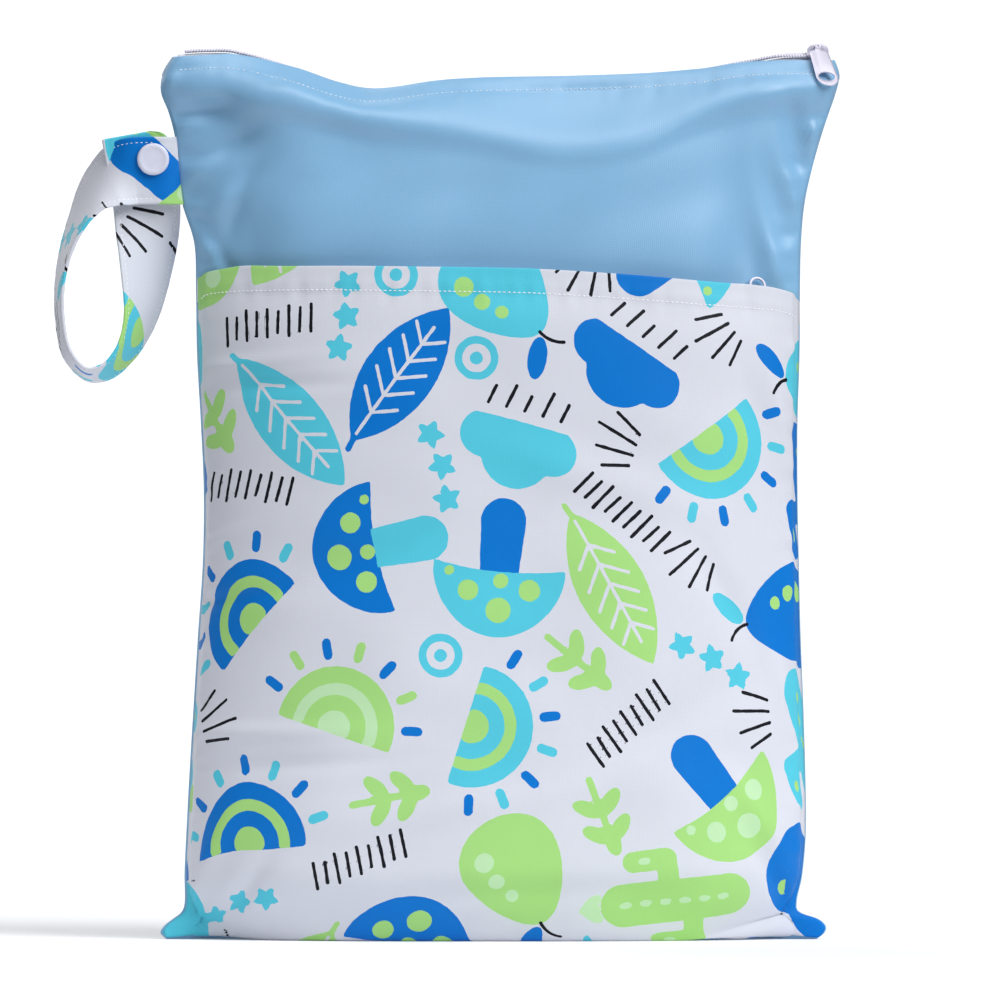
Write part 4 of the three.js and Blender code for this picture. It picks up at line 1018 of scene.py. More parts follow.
def panel_points(side, spacing, creases, seed):
    """Points of a front or back panel, its top edge folded in along the zip."""
    columns = int(2 * HALF_WIDTH / spacing)
    s = np.linspace(-1, 1, columns + 1)[None, :]
    share = even_rows(side, 0, TOP_ROW, spacing) / TOP_ROW
    rows = share[:, None] * row_at(side, s, hem_height(s) - FOLD_ROUND)
    rows, out, lift = fold_over(rows, side, s, hem_height(s), HEM_TURN)
    base = skin(side, s, rows)
    normal, tall = directions(side, s, rows)
    x, z = base[..., 0], base[..., 2]
    below = hem_height(s) - z
    standing = smooth(rows, 3, 7) * (1 - smooth(np.abs(s), 0.975, 1))
    relief = creased(creases, x, z) + ripples(seed, x, z, 130, 28, 1.1) + seam_gathers(seed, s, z)
    stitched = -0.45 * np.exp(-(((below - HEM_STITCH) / GROOVE) ** 2))
    drawn = 0.3 * puckers(seed + 5, x, 13.0) * smooth(below, 1, 6) * (1 - smooth(below, 8, 17))
    if side == FRONT:
        brow = BROW * across(HEM, "brow", s) + 3
        relief = relief + BROW_STAND * smooth(below, 4, brow) * (1 - smooth(below, brow, brow + 13))
    moved = (relief * smooth(below, 0.5, 9) + (stitched + drawn) * smooth(below, 0.2, 2)) * standing
    moved = np.where(out < -FOLD_ROUND, np.minimum(moved, 0), moved)
    points = base + normal * (out + moved)[..., None] + tall * lift[..., None]
    points[..., 2] = np.maximum(points[..., 2], LOWEST)
    return points


def front_panel():
    points = panel_points(FRONT, FRONT_PITCH, FRONT_CREASES, 21)
    piece = cloth_grid("front_cloth", points, flat_place(points))
    give_thickness(piece, CLOTH, BLUE_KNIT, LAMINATE)
    finish_piece(piece, "bag", replaces=["front_panel"])
    return points


def back_panel():
    points = panel_points(BACK, BACK_PITCH, BACK_CREASES, 33)
    place = flat_place(points, hang=True)
    piece = cloth_grid("back_cloth", points, place, mirrored=True)
    printed(piece, place[:, ::-1] * np.array((-1, 1)), (150, 40))
    give_thickness(piece, CLOTH, PRINTED_KNIT, LAMINATE)
    finish_piece(piece, "bag", replaces=["back_panel"])
    return points


def pocket_stand(s, z):
    """Distance from the front panel's face to the pocket's inner side."""
    sides = 1 - np.abs(s) ** POCKET_BOXY
    under_hem = smooth(pocket_height(s) - z, 0, POCKET_FOLD + POCKET_ZIP_BELOW)
    return POCKET_SIDE + sides * smooth(z, 0, POCKET_RISE) * mix(POCKET_HEM_STAND, POCKET_STAND, under_hem)


POCKET_STITCH = 10.0
POCKET_SPAN = (-0.993, 0.997)  # from its left edge to its right one


def front_pocket():
    s = np.linspace(*POCKET_SPAN, int(2 * HALF_WIDTH * 0.93 / POCKET_PITCH))[None, :]
    middle = 1 - smooth(np.abs(s), SOLE_FLAT, 1)
    foot = mix(0.35, 3.6, middle)
    top = pocket_height(s) - FOLD_ROUND
    share = np.linspace(0, 1, int(POCKET_HEIGHT / POCKET_PITCH))[:, None]
    heights = mix(skin(FRONT, s, foot)[..., 2], top, share)
    rows = row_at(FRONT, np.broadcast_to(s, heights.shape), heights)
    fine = mix(foot, rows[FOOT_ROWS - 1], np.linspace(0, 1, 160)[:, None])
    length = run_length(skin(FRONT, s, fine))
    for column in range(fine.shape[1]):
        even = np.linspace(0, length[-1, column], FOOT_ROWS)
        rows[:FOOT_ROWS, column] = np.interp(even, length[:, column], fine[:, column])
    rows, out, lift = fold_over(rows, FRONT, s, pocket_height(s), POCKET_FOLD)
    base = skin(FRONT, s, rows)
    normal, tall = directions(FRONT, s, rows)
    x, z = base[..., 0], base[..., 2]
    below = pocket_height(s) - z
    stand = pocket_stand(s, z) + CAD_WALL
    hem = 0.8 * (1 - smooth(below, POCKET_STITCH + 0.3, POCKET_STITCH + 2.2))
    stitched = -0.5 * np.exp(-(((below - POCKET_STITCH) / GROOVE) ** 2))
    drawn = 0.35 * puckers(9, x, 12.0) * np.exp(-(((below - POCKET_STITCH) / 6.0) ** 2))
    inward = 1 - smooth(np.abs(s), 0.94, 1)
    free = smooth(below, 4, 22) * smooth(z, 4, 20) * inward
    relief = creased(POCKET_CREASES, x, z) + ripples(5, x, z, 150, 32, 1.2) + 0.8 * seam_gathers(41, s, z)
    moved = relief * free + (stitched + drawn) * inward + hem
    moved = np.where(out < -FOLD_ROUND, np.minimum(moved, hem), moved)
    points = base + normal * (stand + out + moved)[..., None] + tall * lift[..., None]
    points[..., 2] = np.maximum(points[..., 2], LOWEST)
    place = flat_place(points, hang=True)
    piece = cloth_grid("pocket_cloth", points, place)
    spots = [(ink, np.hypot(points[..., 0] - x, (points[..., 2] - z) * flat) - radius)
             for ink, x, z, radius, flat in (("blue", 146, 22, 20, 0.8), ("cyan", -150, 2, 21, 0.75))]
    printed(piece, place, (165, 15), spots)
    give_thickness(piece, CLOTH, PRINTED_KNIT, LAMINATE)
    finish_piece(piece, "bag", replaces=["pocket_panel"])
    return points


FRONT_CLOTH = front_panel()
BACK_CLOTH = back_panel()
POCKET_CLOTH = front_pocket()


def strap_line(at):
    """Centre, direction across and direction outwards of the strap at places on its route."""
    last = len(STRAP_ROUTE["out"]) - 1
    seam = skin(FRONT, -1, row_at(FRONT, -1, STRAP_HEIGHT))[..., 0]

    def centre(k):
        x = seam - CLEAR - along(STRAP_ROUTE["out"], k) * STRAP_REACH
        y = along(STRAP_ROUTE["back"], k) * STRAP_WIDTH
        return np.stack((x, y, STRAP_HEIGHT + along(STRAP_ROUTE["rise"], k) * STRAP_DROP), axis=-1)

    tangent = unit(centre(np.minimum(at + 0.02, last)) - centre(np.maximum(at - 0.02, 0)))
    wide = np.stack([along(STRAP_ROUTE[k], at) for k in ("wx", "wy", "wz")], axis=-1)
    wide = unit(wide - np.sum(wide * tangent, axis=-1, keepdims=True) * tangent)
    return centre(at), wide, np.cross(wide, tangent)


def strap_places(spacing):
    """Places evenly spaced along the strap's route."""
    fine = np.linspace(0, len(STRAP_ROUTE["out"]) - 1, 900)
    return even_places(fine, strap_line(fine)[0], spacing)


STRAP_STITCH = 2.6  # edge to topstitch
STRAP_SPACING = 1.05
STRAP_CORNER = 8.0  # radius of the free end's corners


def carrying_strap():
    """A flat sleeve of cloth: its cross-section runs across one face, round the edge and back."""
    half, thick = STRAP_WIDTH / 2, STRAP_THICK / 2
    flat = np.linspace(-half + thick, half - thick, 28)
    arc = np.linspace(-math.pi / 2, math.pi / 2, 7)[1:-1]
    edge_across, edge_out = half - thick + thick * np.cos(arc), thick * np.sin(arc)
    away = np.concatenate((flat, edge_across, flat[::-1], -edge_across, flat[:1]))
    out = np.concatenate((np.full(28, -thick), edge_out, np.full(28, thick), -edge_out, (-thick,)))
    at = strap_places(STRAP_SPACING)
    centre, wide, normal = strap_line(at)
    run = np.arange(len(at))[:, None] * STRAP_SPACING
    stitched = 1 - 0.3 * np.exp(-((np.abs(np.abs(away) - half + STRAP_STITCH) / 0.9) ** 2))
    gathers = 1 + 0.14 * puckers(3, run + away, 6.5) * (np.abs(away) > half - STRAP_STITCH)
    plump = stitched * gathers
    near_end = np.maximum(STRAP_CORNER - run[-1] + run, 0)
    taper = 1 - (STRAP_CORNER - np.sqrt(STRAP_CORNER**2 - near_end**2)) / half
    points = centre[:, None] + normal[:, None] * (out * plump)[..., None]
    points = points + wide[:, None] * (away * np.where(away > 0, taper, 1))[..., None]
    seam_x = skin(FRONT, -1, row_at(FRONT, -1, points[0, :, 2]))[:, 0] + 0.6
    ease = (1 - smooth(run[:, 0], 0, 9))[:, None]
    points[:, :, 0] += ease * (seam_x - points[0, :, 0])
    points[:, :, 1] -= ease * 0.6 * (points[:, :, 1] - centre[:, None, 1])
    girth = run_length(np.stack((away, out), axis=-1))
    place = np.stack(np.broadcast_arrays(girth[None, :], run), axis=-1)
    piece = cloth_grid("strap_cloth", points, place)
    printed(piece, place, (214, 96))
    piece.data.materials.append(PRINTED_KNIT)
    close_mesh(piece)
    finish_piece(piece, "bag", replaces=["strap"])


carrying_strap()


def row_on_cloth(points, fold_rows, below, depth, span):
    """A line on a panel's face at a depth below its edge: its points and outward directions."""
    face = points[: len(points) - fold_rows]
    depths = below[: len(face)]

    def at(value):
        columns = zip(depths.T, face.swapaxes(0, 1))
        return np.array([[np.interp(-value, -deep, row) for row in column.T] for deep, column in columns])

    path, above, under = at(depth), at(depth - 1.5), at(depth + 1.5)
    outward = np.cross(np.gradient(path, axis=0), above - under)
    outward = unit(outward) * np.sign(np.sum(outward[:, 1]) * np.mean(path[:, 1]))
    inside = np.abs(np.linspace(-1, 1, len(path))) < span
    return path[inside], outward[inside]


def frames_along(path, outward, pitch):
    """Frames at an even pitch along a line: x along it, z outwards."""
    length = run_length(path)
    stations = np.arange(pitch / 2, length[-1] - pitch / 2, pitch)
    follow = lambda values, at: np.stack([np.interp(at, length, values[:, k]) for k in range(3)], axis=-1)
    middle = follow(path, stations)
    x = unit(follow(path, stations + pitch / 3) - follow(path, stations - pitch / 3))
    z = follow(outward, stations)
    z = unit(z - np.sum(z * x, axis=-1, keepdims=True) * x)
    return np.stack((x, np.cross(z, x), z, middle), axis=-1)


def repeated(name, one, frames, material):
    """Copies of one small piece, modelled in millimetres, as a single mesh with its own materials."""
    shape = np.array([v.co for v in one.data.vertices])
    faces = [tuple(f.vertices) for f in one.data.polygons]
    points = np.concatenate([shape @ frame[:, :3].T + frame[:, 3] for frame in frames])
    mesh = bpy.data.meshes.new(name)
    copies = range(len(frames))
    mesh.from_pydata(points * MM, [], [[v + k * len(shape) for v in face] for k in copies for face in faces])
    mesh.update()
    mesh.shade_smooth()
    mesh.materials.append(material)
    bpy.data.objects.remove(one)
    piece = bpy.data.objects.new(name, mesh)
    bpy.context.scene.collection.objects.link(piece)
    return piece


def bead(long, wide, high, bow, segments=8, rings=5):
    """A rounded bead along x, its ends bowed down: a stitch, or a tooth of a coil."""
    bpy.ops.object.select_all(action="DESELECT")
    bpy.ops.mesh.primitive_uv_sphere_add(segments=segments, ring_count=rings, radius=1)
    one = bpy.context.object
    for vertex in one.data.vertices:
        x, y, z = vertex.co.z, vertex.co.y, vertex.co.x
        round_end = math.copysign(abs(x) ** 0.75, x)
        vertex.co = (round_end * long, y * wide, z * high - bow * x * x)
    return face_outwards(one)


STITCH_PITCH = 2.2
STITCH = (0.8, 0.24, 0.26, 0.14)  # half a stitch's length, width and height, and its bow
FOLD_ROWS = FOLD_STEPS + TURN_STEPS


def topstitch(name, lines, material, slot):
    """Straight stitches sunk into the cloth along one or more lines."""
    frames = np.concatenate([frames_along(path, outward, STITCH_PITCH) for path, outward in lines])
    piece = repeated(name, bead(*STITCH), frames, material)
    finish_piece(piece, "bag")


def stitch_rows():
    white = WHITE_THREAD, "printed_cloth"
    for name, points, edge, span, depth, reach, spun, slot in (
        ("front", FRONT_CLOTH, hem_height, (-1, 1), HEM_STITCH, 0.96, BLUE_THREAD, "blue_cloth"),
        ("back", BACK_CLOTH, hem_height, (-1, 1), HEM_STITCH, 0.96, *white),
        ("pocket", POCKET_CLOTH, pocket_height, POCKET_SPAN, POCKET_STITCH, 0.985, *white),
    ):
        below = edge(np.linspace(*span, points.shape[1]))[None, :] - points[..., 2]
        line = row_on_cloth(points, FOLD_ROWS, below, depth, reach)
        topstitch(name + "_hem_topstitch", [line], spun, slot)
    at = strap_places(1.5)
    centre, wide, normal = strap_line(at)
    lines = []
    for way in (-1, 1):
        for edge in (-1, 1):
            path = centre + wide * edge * (STRAP_WIDTH / 2 - STRAP_STITCH) + normal * way * 0.3 * STRAP_THICK
            lines.append((path[7:-6], (normal * way)[7:-6]))
    topstitch("strap_topstitch", lines, *white)


stitch_rows()


def zip_centre(s):
    peek = across(HEM, "peek", s)
    lift = np.where(peek > 0, peek * ZIP_PEEK, peek * ZIP_SINK)
    x = skin(FRONT, s, TOP_ROW)[..., 0]
    return np.stack((x, np.zeros_like(x), hem_height(s) + lift), axis=-1)


TOP_CORNER = float(skin(FRONT, 1, TOP_ROW)[..., 0])
SLIDER_X = TOP_CORNER - SLIDER_FROM_CORNER
SLIDER_PLACE = SLIDER_X / TOP_CORNER


def zip_roll(s):
    return SLIDER_ROLL * smooth(zip_centre(s)[..., 0], SLIDER_X - ROLL_REACH, SLIDER_X - SLIDER_LENGTH / 2)


def beside_zip(s, y, z):
    """Points beside the top zip's line, turned with it where the slider rolls it forwards."""
    roll = zip_roll(s)
    c, sine = np.cos(roll), np.sin(roll)
    return zip_centre(s) + np.stack((0 * roll, y * c - z * sine, y * sine + z * c), axis=-1)


def off_skin(side, s, row, out):
    normal, _ = directions(side, s, row)
    return skin(side, s, row) + normal * np.asarray(out, float)[..., None]


TAPE = 0.8
TAPE_ROWS = (23, 22.5, 22, 21.5)


def tape_piece(name, points, replaces, mirrored=False):
    piece = cloth_grid(name, points, flat_place(points), mirrored)
    give_thickness(piece, TAPE, TAPE_WEAVE, TAPE_WEAVE)
    finish_piece(piece, "bag", replaces=[replaces])


def top_tapes():
    s = np.linspace(-TOP_TAPE_SPAN, TOP_TAPE_SPAN, 200)
    for side, name in ((FRONT, "front"), (BACK, "back")):
        behind = [off_skin(side, s, row, -CAD_WALL - TAPE) for row in TAPE_ROWS]
        under = beside_zip(s, side * 0.2, -COIL_THICK / 2 - CLEAR)
        lines = [under, mix(behind[0], behind[1], 0.4), *behind[1:]]
        between = [mix(a, b, k / 4) for a, b in zip(lines, lines[1:]) for k in range(4)]
        points = np.stack(between + [lines[-1]])
        points = points if side == FRONT else points[::-1]
        tape_piece("top_tape_weave_" + name, points[::-1], "top_zip_tape_" + name)


def coil(name, path, upward, wide, thick, pitch, replaces):
    """A closed zip's teeth: slanting beads from both sides that meet over a soft core."""
    frames = frames_along(path, upward, pitch)
    x, y, z, middle = (frames[..., k] for k in range(4))
    both = []
    for side in (-1, 1):
        lean = math.radians(74) * side
        along_tooth = x * math.cos(lean) + y * math.sin(lean)
        shifted = middle + y * side * wide * 0.24 + x * (pitch / 4) * side
        both.append(np.stack((along_tooth, np.cross(z, along_tooth), z, shifted), axis=-1))
    tooth = bead(wide * 0.29, pitch * 0.27, thick * 0.5, thick * 0.16)
    piece = repeated(name, tooth, np.concatenate(both), COIL_RESIN)
    core = beside_core(name + "_core", path, upward, wide * 0.86, thick * 0.45)
    select_only(piece)
    core.select_set(True)
    bpy.ops.object.join()
    finish_piece(piece, "bag", replaces=[replaces])


def beside_core(name, path, upward, wide, thick):
    """The flat cord inside a coil, closed all round."""
    tangent = unit(np.gradient(path, axis=0))
    side = unit(np.cross(upward, tangent))
    angles = np.linspace(0, 2 * math.pi, 9)
    ring = [path + side * wide / 2 * math.cos(a) + upward * thick / 2 * math.sin(a) for a in angles]
    points = np.stack(ring)
    piece = cloth_grid(name, points, flat_place(points))
    piece.data.materials.append(COIL_RESIN)
    close_mesh(piece)
    return piece


def top_zip():
    top_tapes()
    s = np.linspace(-0.965, SLIDER_PLACE + 0.015, 400)
    path = zip_centre(s)
    roll = zip_roll(s)
    upward = np.stack((0 * roll, -np.sin(roll), np.cos(roll)), axis=-1)
    coil("top_zip_teeth", path, upward, COIL_WIDTH, COIL_THICK, 1.25, "top_zip_coil")


POCKET_COIL_WIDTH, POCKET_COIL_THICK = 3.6, 1.6
POCKET_TAPE_OUT = 1.5  # front panel to the outer side of the pocket zip's tapes
POCKET_COIL_FOOT = 1.8
POCKET_TAPE_REACH = 9.0


def pocket_zip_row(s, reach=0.0):
    """Row of the front panel at a reach up it from the pocket zip's middle."""
    return row_at(FRONT, s, pocket_height(s) - POCKET_ZIP_BELOW + reach)


def beside_pocket_zip(s, reach, out):
    return off_skin(FRONT, s, pocket_zip_row(s, reach), out)


def pocket_zip():
    s = np.linspace(-POCKET_TAPE_SPAN, POCKET_TAPE_SPAN, 180)
    reaches = np.linspace(0.2, POCKET_TAPE_REACH, 8)
    upper = [beside_pocket_zip(s, reach, POCKET_TAPE_OUT) for reach in reaches]
    tape_piece("pocket_tape_weave_upper", np.stack(upper), "pocket_zip_tape_upper")
    against = np.maximum(pocket_stand(s, pocket_height(s) - POCKET_ZIP_BELOW) - CLEAR, POCKET_TAPE_OUT)
    lower = []
    for share in np.linspace(1, 0, 12):
        reach = -mix(0.2, POCKET_TAPE_REACH, share)
        lower.append(beside_pocket_zip(s, reach, mix(POCKET_TAPE_OUT, against, smooth(share, 0.3, 0.7))))
    tape_piece("pocket_tape_weave_lower", np.stack(lower), "pocket_zip_tape_lower")
    middle = POCKET_COIL_FOOT + POCKET_COIL_THICK / 2
    path = beside_pocket_zip(s, 0.0, middle)
    upward = unit(path - beside_pocket_zip(s, 0.0, middle - 1))
    coil("pocket_zip_teeth", path, upward, POCKET_COIL_WIDTH, POCKET_COIL_THICK, 1.25, "pocket_zip_coil")


top_zip()
pocket_zip()


def new_ring(points):
    """Adds a ring of points in the XY plane to the mesh in edit mode, or starts one."""
    bpy.ops.mesh.primitive_circle_add(vertices=len(points), radius=1)
    bpy.ops.object.mode_set(mode="OBJECT")
    mesh = bpy.context.object.data
    for vertex, point in zip(mesh.vertices[-len(points):], points):
        vertex.co = (*point, 0)
    bpy.ops.object.mode_set(mode="EDIT")


def flat_solid(name, outline, thick, hole=None):
    """An outline in the XY plane, with a hole if it has one, extruded up in z."""
    bpy.ops.object.select_all(action="DESELECT")
    bpy.ops.mesh.primitive_circle_add(vertices=len(outline), radius=1)
    piece = bpy.context.object
    piece.name = name
    for vertex, point in zip(piece.data.vertices, outline):
        vertex.co = (*point, 0)
    bpy.ops.object.mode_set(mode="EDIT")
    if hole is None:
        bpy.ops.mesh.select_all(action="SELECT")
        bpy.ops.mesh.edge_face_add()
    else:
        bpy.ops.mesh.select_all(action="DESELECT")
        new_ring(hole)
        bpy.ops.mesh.select_all(action="SELECT")
        bpy.ops.mesh.bridge_edge_loops()
    bpy.ops.mesh.select_all(action="SELECT")
    bpy.ops.mesh.extrude_region_move(TRANSFORM_OT_translate={"value": (0, 0, thick)})
    bpy.ops.object.mode_set(mode="OBJECT")
    return face_outwards(piece)


def select_faces(piece, chosen):
    """Goes into edit mode with the faces selected that a test of centre and normal picks."""
    select_only(piece)
    bpy.ops.object.mode_set(mode="EDIT")
    bpy.ops.mesh.select_mode(type="FACE")
    bpy.ops.mesh.select_all(action="DESELECT")
    bpy.ops.object.mode_set(mode="OBJECT")
    for face in piece.data.polygons:
        face.select = bool(chosen(face.center, face.normal))
    bpy.ops.object.mode_set(mode="EDIT")


def rounded(piece, width, segments=3, angle=38):
    apply_modifier(piece, "BEVEL", width=width, segments=segments, limit_method="ANGLE",
                   angle_limit=math.radians(angle), use_clamp_overlap=True)


def moved(piece, matrix):
    piece.data.transform(matrix)
    return piece


def joined(name, *pieces):
    """One piece out of several, each joined to the first where they meet."""
    first, *others = pieces
    for other in others:
        apply_modifier(first, "BOOLEAN", operation="UNION", object=other, solver="EXACT")
        bpy.data.objects.remove(other)
    first.name = name
    return first


def hard_piece(piece, frame, body, replaces, material):
    """Places a piece that was modelled in millimetres, and finishes it."""
    piece.data.transform(Matrix.Scale(MM, 4) @ frame)
    piece.data.materials.clear()
    piece.data.materials.append(material)
    select_only(piece)
    bpy.ops.object.shade_smooth_by_angle(angle=math.radians(35))
    finish_piece(piece, body, replaces=[replaces])


def circle_points(radius_x, radius_y, centre, count=40, start=0.0):
    angles = start + np.linspace(0, 2 * math.pi, count, endpoint=False)
    return [(centre[0] + radius_x * math.cos(a), centre[1] + radius_y * math.sin(a)) for a in angles]


PLATE, LIP, BEAM, EYE_HIGH, EYE_LONG = 0.9, 0.8, 1.2, 1.5, 3.4
CROWN_LONG, SHOULDER, TAIL = 9.4, 3.3, 2.3
CHEEK, KNUCKLE_GAP = 3.75, 1.5  # the crown's cheeks stand up beside the pull's knuckle


def slider(name, coil_width, coil_thick, scale, frame, replaces):
    """A slider's plate with lips that hook round the coil, and its crown."""
    foot = coil_thick / 2 + CLEAR
    half = SLIDER_LENGTH / 2
    under = [(-half, -TAIL), (-half + 0.2, -TAIL - 0.15), (0.2 * half, -SHOULDER), (0.55 * half, -SHOULDER)]
    under += [(0.55 * half + 0.45 * half * math.sin(a), -SHOULDER + 1.3 * (1 - math.cos(a))) for a in
              np.linspace(0.2, math.pi / 2, 7)]
    outline = under + [(x, -y) for x, y in reversed(under)]
    plate = moved(flat_solid("plate", outline, PLATE), Matrix.Translation((0, 0, foot)))
    rounded(plate, 0.32)
    lips = []
    for way in (-1, 1):
        lip_side = [(-2.6, -LIP / 2), (2.6, -LIP / 2), (3.0, 0)]
        lip_outline = lip_side + [(-x, -y) for x, y in lip_side]
        high = foot + PLATE / 2 - 0.1
        place = Matrix.Translation((0.3 * half, way * (coil_width / 2 + CLEAR + LIP / 2), 0.1))
        lip = moved(flat_solid("lip", lip_outline, high), place)
        rounded(lip, 0.18, 2)
        lips.append(lip)

    top = EYE_HIGH + BEAM
    long, eye = CROWN_LONG / 2, EYE_LONG / 2
    arch = []
    for a in np.linspace(0, math.radians(76), 12)[1:]:
        arch.append((long * math.cos(a) ** 0.75, CHEEK * math.sin(a) ** 0.8))
    side = [(eye * 1.15, -0.4), (long, -0.4), *arch, (KNUCKLE_GAP, CHEEK - 0.1), (KNUCKLE_GAP, top)]
    inner = [(eye, EYE_HIGH - 0.35), (eye - 0.35, EYE_HIGH)]
    outline = side + [(-x, y) for x, y in reversed(side)] + [(-x, y) for x, y in inner] + inner[::-1]
    crown = flat_solid("crown", outline, 1.0)
    for vertex in crown.data.vertices:
        x, y, z = vertex.co
        wide = mix(2.4, BEAM, float(smooth(y, 0, 2.2)))
        vertex.co = (x, (z - 0.5) * wide, y + foot + PLATE)
    rounded(face_outwards(crown), 0.34)
    piece = joined(name, plate, *lips, crown)
    hard_piece(piece, frame @ Matrix.Scale(scale, 4), "bag", replaces, ENAMEL)


def beam_height(coil_thick):
    return coil_thick / 2 + CLEAR + PLATE + EYE_HIGH + BEAM / 2


KNUCKLE, BORE, KNUCKLE_WIDE = 1.75, 1.15, 2.6
POCKET_SLIDER_AT = 0.75  # share of the bag's half width
SMALL = 0.78  # the pocket's slider and knuckle beside the top zip's
TAB_LEAN, RING_LEAN = math.radians(22), math.radians(78)  # how the pulls rest


def knuckle():
    """The loop of a pull that goes round the beam, along x."""
    ring = flat_solid("knuckle", circle_points(KNUCKLE, KNUCKLE, (0, 0), 32), KNUCKLE_WIDE,
                      circle_points(BORE, BORE, (0, 0), 32))
    rounded(ring, 0.28, 3)
    return moved(ring, Matrix.Rotation(math.pi / 2, 4, "Y") @ Matrix.Translation((0, 0, -KNUCKLE_WIDE / 2)))


def tab_pull(frame):
    """The flat tab that hangs from the top slider: raised edges, and an oval hole in its round end."""
    thick, long, slant = 1.2, 18.7, math.tan(math.radians(17))
    half = [(1.3, 1.02), (1.35, 1.75), (2.6, 2.0), (3.7, 2.5), (4.15, 3.4), (4.2, 4.4)]
    half += [(mix(4.2, 4.8, k), mix(4.4, 14.6, k)) for k in (0.2, 0.4, 0.6, 0.8, 1.0)]
    half += [(4.8 * math.cos(a), 14.6 + 4.1 * math.sin(a)) for a in np.linspace(0.15, math.pi / 2, 9)]
    outline = [(x, -d) for x, d in half] + [(-x, -d) for x, d in half[-2::-1]]
    hole = circle_points(3.5, 2.15, (0, -long + 4.2), len(outline), math.pi / 2)[::-1]
    piece = flat_solid("pull", outline, thick, hole)
    select_faces(piece, lambda centre, normal: normal.z > 0.9)
    bpy.ops.mesh.inset(thickness=0.36, depth=0)
    bpy.ops.transform.translate(value=(0, 0, -0.4))
    bpy.ops.object.mode_set(mode="OBJECT")
    rounded(piece, 0.1, 2)
    for vertex in piece.data.vertices:
        x, y, z = vertex.co
        vertex.co = (x + max(-y - KNUCKLE, 0) * slant, -z - (KNUCKLE - thick), y)
    loop = knuckle()
    upright = (math.pi / 2, 0, 0)
    bpy.ops.mesh.primitive_cylinder_add(radius=0.62, depth=0.9, location=(0, -KNUCKLE, 0), rotation=upright)
    dimple = bpy.context.object
    apply_modifier(loop, "BOOLEAN", operation="DIFFERENCE", object=dimple, solver="EXACT")
    bpy.data.objects.remove(dimple)
    piece = joined("top_pull_tab", piece, loop)
    hard_piece(piece, frame, "top_pull", "top_zip_pull", ENAMEL)


def ring_pull(frame):
    """The pocket's pull: a round ring on a stem."""
    thick, radius, bar, long = 1.1, 4.0, 1.1, 20.6
    middle = (0, -long + radius)
    ring = flat_solid("ring", circle_points(radius, radius, middle, 48), thick,
                      circle_points(radius - bar, radius - bar, middle, 48))
    rounded(ring, 0.4, 3)
    foot = middle[1] + radius - bar / 2
    stem = flat_solid("stem", [(-0.9, foot - 0.2), (0.9, foot - 0.2), (0.9, -0.98), (-0.9, -0.98)], thick)
    rounded(stem, 0.3, 3)
    upright = Matrix.Rotation(math.pi / 2, 4, "X") @ Matrix.Translation((0, 0, -thick / 2))
    loop = moved(knuckle(), Matrix.Scale(SMALL, 4))
    piece = joined("pocket_pull_ring", moved(ring, upright), moved(stem, upright), loop)
    hard_piece(piece, frame, "pocket_pull", "pocket_zip_pull", ENAMEL)


def sliders():
    roll = float(zip_roll(SLIDER_PLACE))
    frame = Matrix.Translation(zip_centre(SLIDER_PLACE)) @ Matrix.Rotation(roll, 4, "X")
    slider("top_slider", COIL_WIDTH, COIL_THICK, 1.0, frame, "top_zip_slider")
    hinge = Matrix.Translation((0, 0, beam_height(COIL_THICK)))
    tab_pull(frame @ hinge @ Matrix.Rotation(-TAB_LEAN - roll, 4, "X"))

    edge = float(skin(FRONT, 1, row_at(FRONT, 1.0, POCKET_HEIGHT))[..., 0])
    s = POCKET_SLIDER_AT * HALF_WIDTH / edge
    row = pocket_zip_row(s)
    outward = directions(FRONT, s, row)[0]
    before, ahead = (skin(FRONT, s + d, pocket_zip_row(s + d)) for d in (-0.02, 0.02))
    lengthwise = unit(ahead - before)
    lengthwise = unit(lengthwise - np.sum(lengthwise * outward) * outward)
    turn = np.eye(4)
    turn[:3, :3] = np.stack((lengthwise, np.cross(outward, lengthwise), outward), axis=-1)
    middle = off_skin(FRONT, s, row, POCKET_COIL_FOOT + POCKET_COIL_THICK / 2)
    frame = Matrix.Translation(middle) @ Matrix(turn.tolist())
    wide, thick = POCKET_COIL_WIDTH / SMALL, POCKET_COIL_THICK / SMALL
    slider("pocket_slider", wide, thick, SMALL, frame, "pocket_zip_slider")
    hinge = Matrix.Translation((0, 0, beam_height(thick) * SMALL))
    ring_pull(frame @ hinge @ Matrix.Rotation(RING_LEAN, 4, "X"))


sliders()

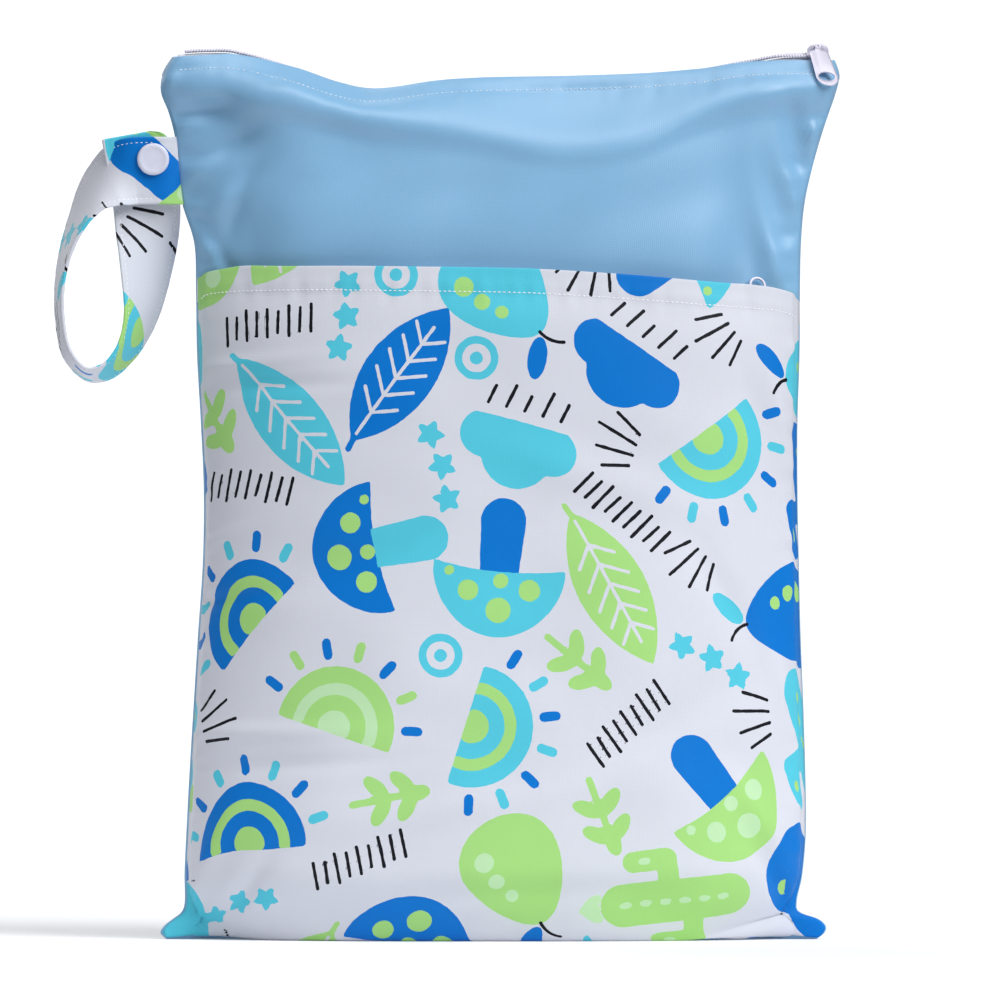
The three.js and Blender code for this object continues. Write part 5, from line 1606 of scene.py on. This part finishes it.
SNAP_HEIGHT = STRAP_HEIGHT + 5.0
SNAP_FROM_SEAM = 11.0
CAP_RADIUS, CAP_THICK, RING_RADIUS, RING_THICK = 7.1, 1.9, 5.0, 0.6


def turned_piece(name, profile, steps=64):
    """A profile of radius and height turned about z."""
    angles = np.linspace(0, 2 * math.pi, steps + 1)
    radius, high = np.array(profile).T
    x = radius[:, None] * np.cos(angles)
    y = radius[:, None] * np.sin(angles)
    points = np.stack((x, y, np.broadcast_to(high[:, None], x.shape)), axis=-1)
    return face_outwards(cloth_grid(name, points / MM, points[..., :2]), merge=1e-3)


def snap():
    """Cap and socket through the strap's start, stud and back cap through its free end."""
    front = float(along(STRAP_ROUTE["back"], 1.5)) * STRAP_WIDTH
    rear = float(STRAP_ROUTE["back"][-1]) * STRAP_WIDTH
    x = float(skin(FRONT, -1, row_at(FRONT, -1.0, STRAP_HEIGHT))[..., 0]) - SNAP_FROM_SEAM
    r, h = CAP_RADIUS, CAP_THICK
    cap = [(0, 0), (r - 0.5, 0), (r - 0.12, 0.15), (r, 0.5), (r, 1.0), (r - 0.1, 1.35), (r - 0.35, 1.66),
           (r - 0.8, 1.84), (r - 1.3, h), (r - 1.8, h - 0.02), (r - 2.2, h - 0.12), (r - 2.6, h - 0.22),
           (2.4, h - 0.17), (1.2, h - 0.15), (0, h - 0.14)]
    r, h = RING_RADIUS, RING_THICK
    ring = [(0, 0), (r - 0.2, 0), (r, 0.15), (r, h - 0.2), (r - 0.2, h), (0, h)]
    gap = CLEAR + 0.05
    for name, profile, y, way, node_name in (
        ("snap_front_cap", cap, front - STRAP_THICK / 2 - gap, -1, "snap_cap"),
        ("snap_socket_ring", ring, front + STRAP_THICK / 2 + gap, 1, "snap_socket"),
        ("snap_stud_ring", ring, rear - STRAP_THICK / 2 - gap, -1, "snap_stud"),
        ("snap_rear_cap", cap, rear + STRAP_THICK / 2 + gap, 1, "snap_back_cap"),
    ):
        frame = Matrix.Translation((x, y, SNAP_HEIGHT)) @ Matrix.Rotation(-way * math.pi / 2, 4, "X")
        hard_piece(turned_piece(name, profile), frame, "bag", node_name, SNAP_RESIN)


snap()
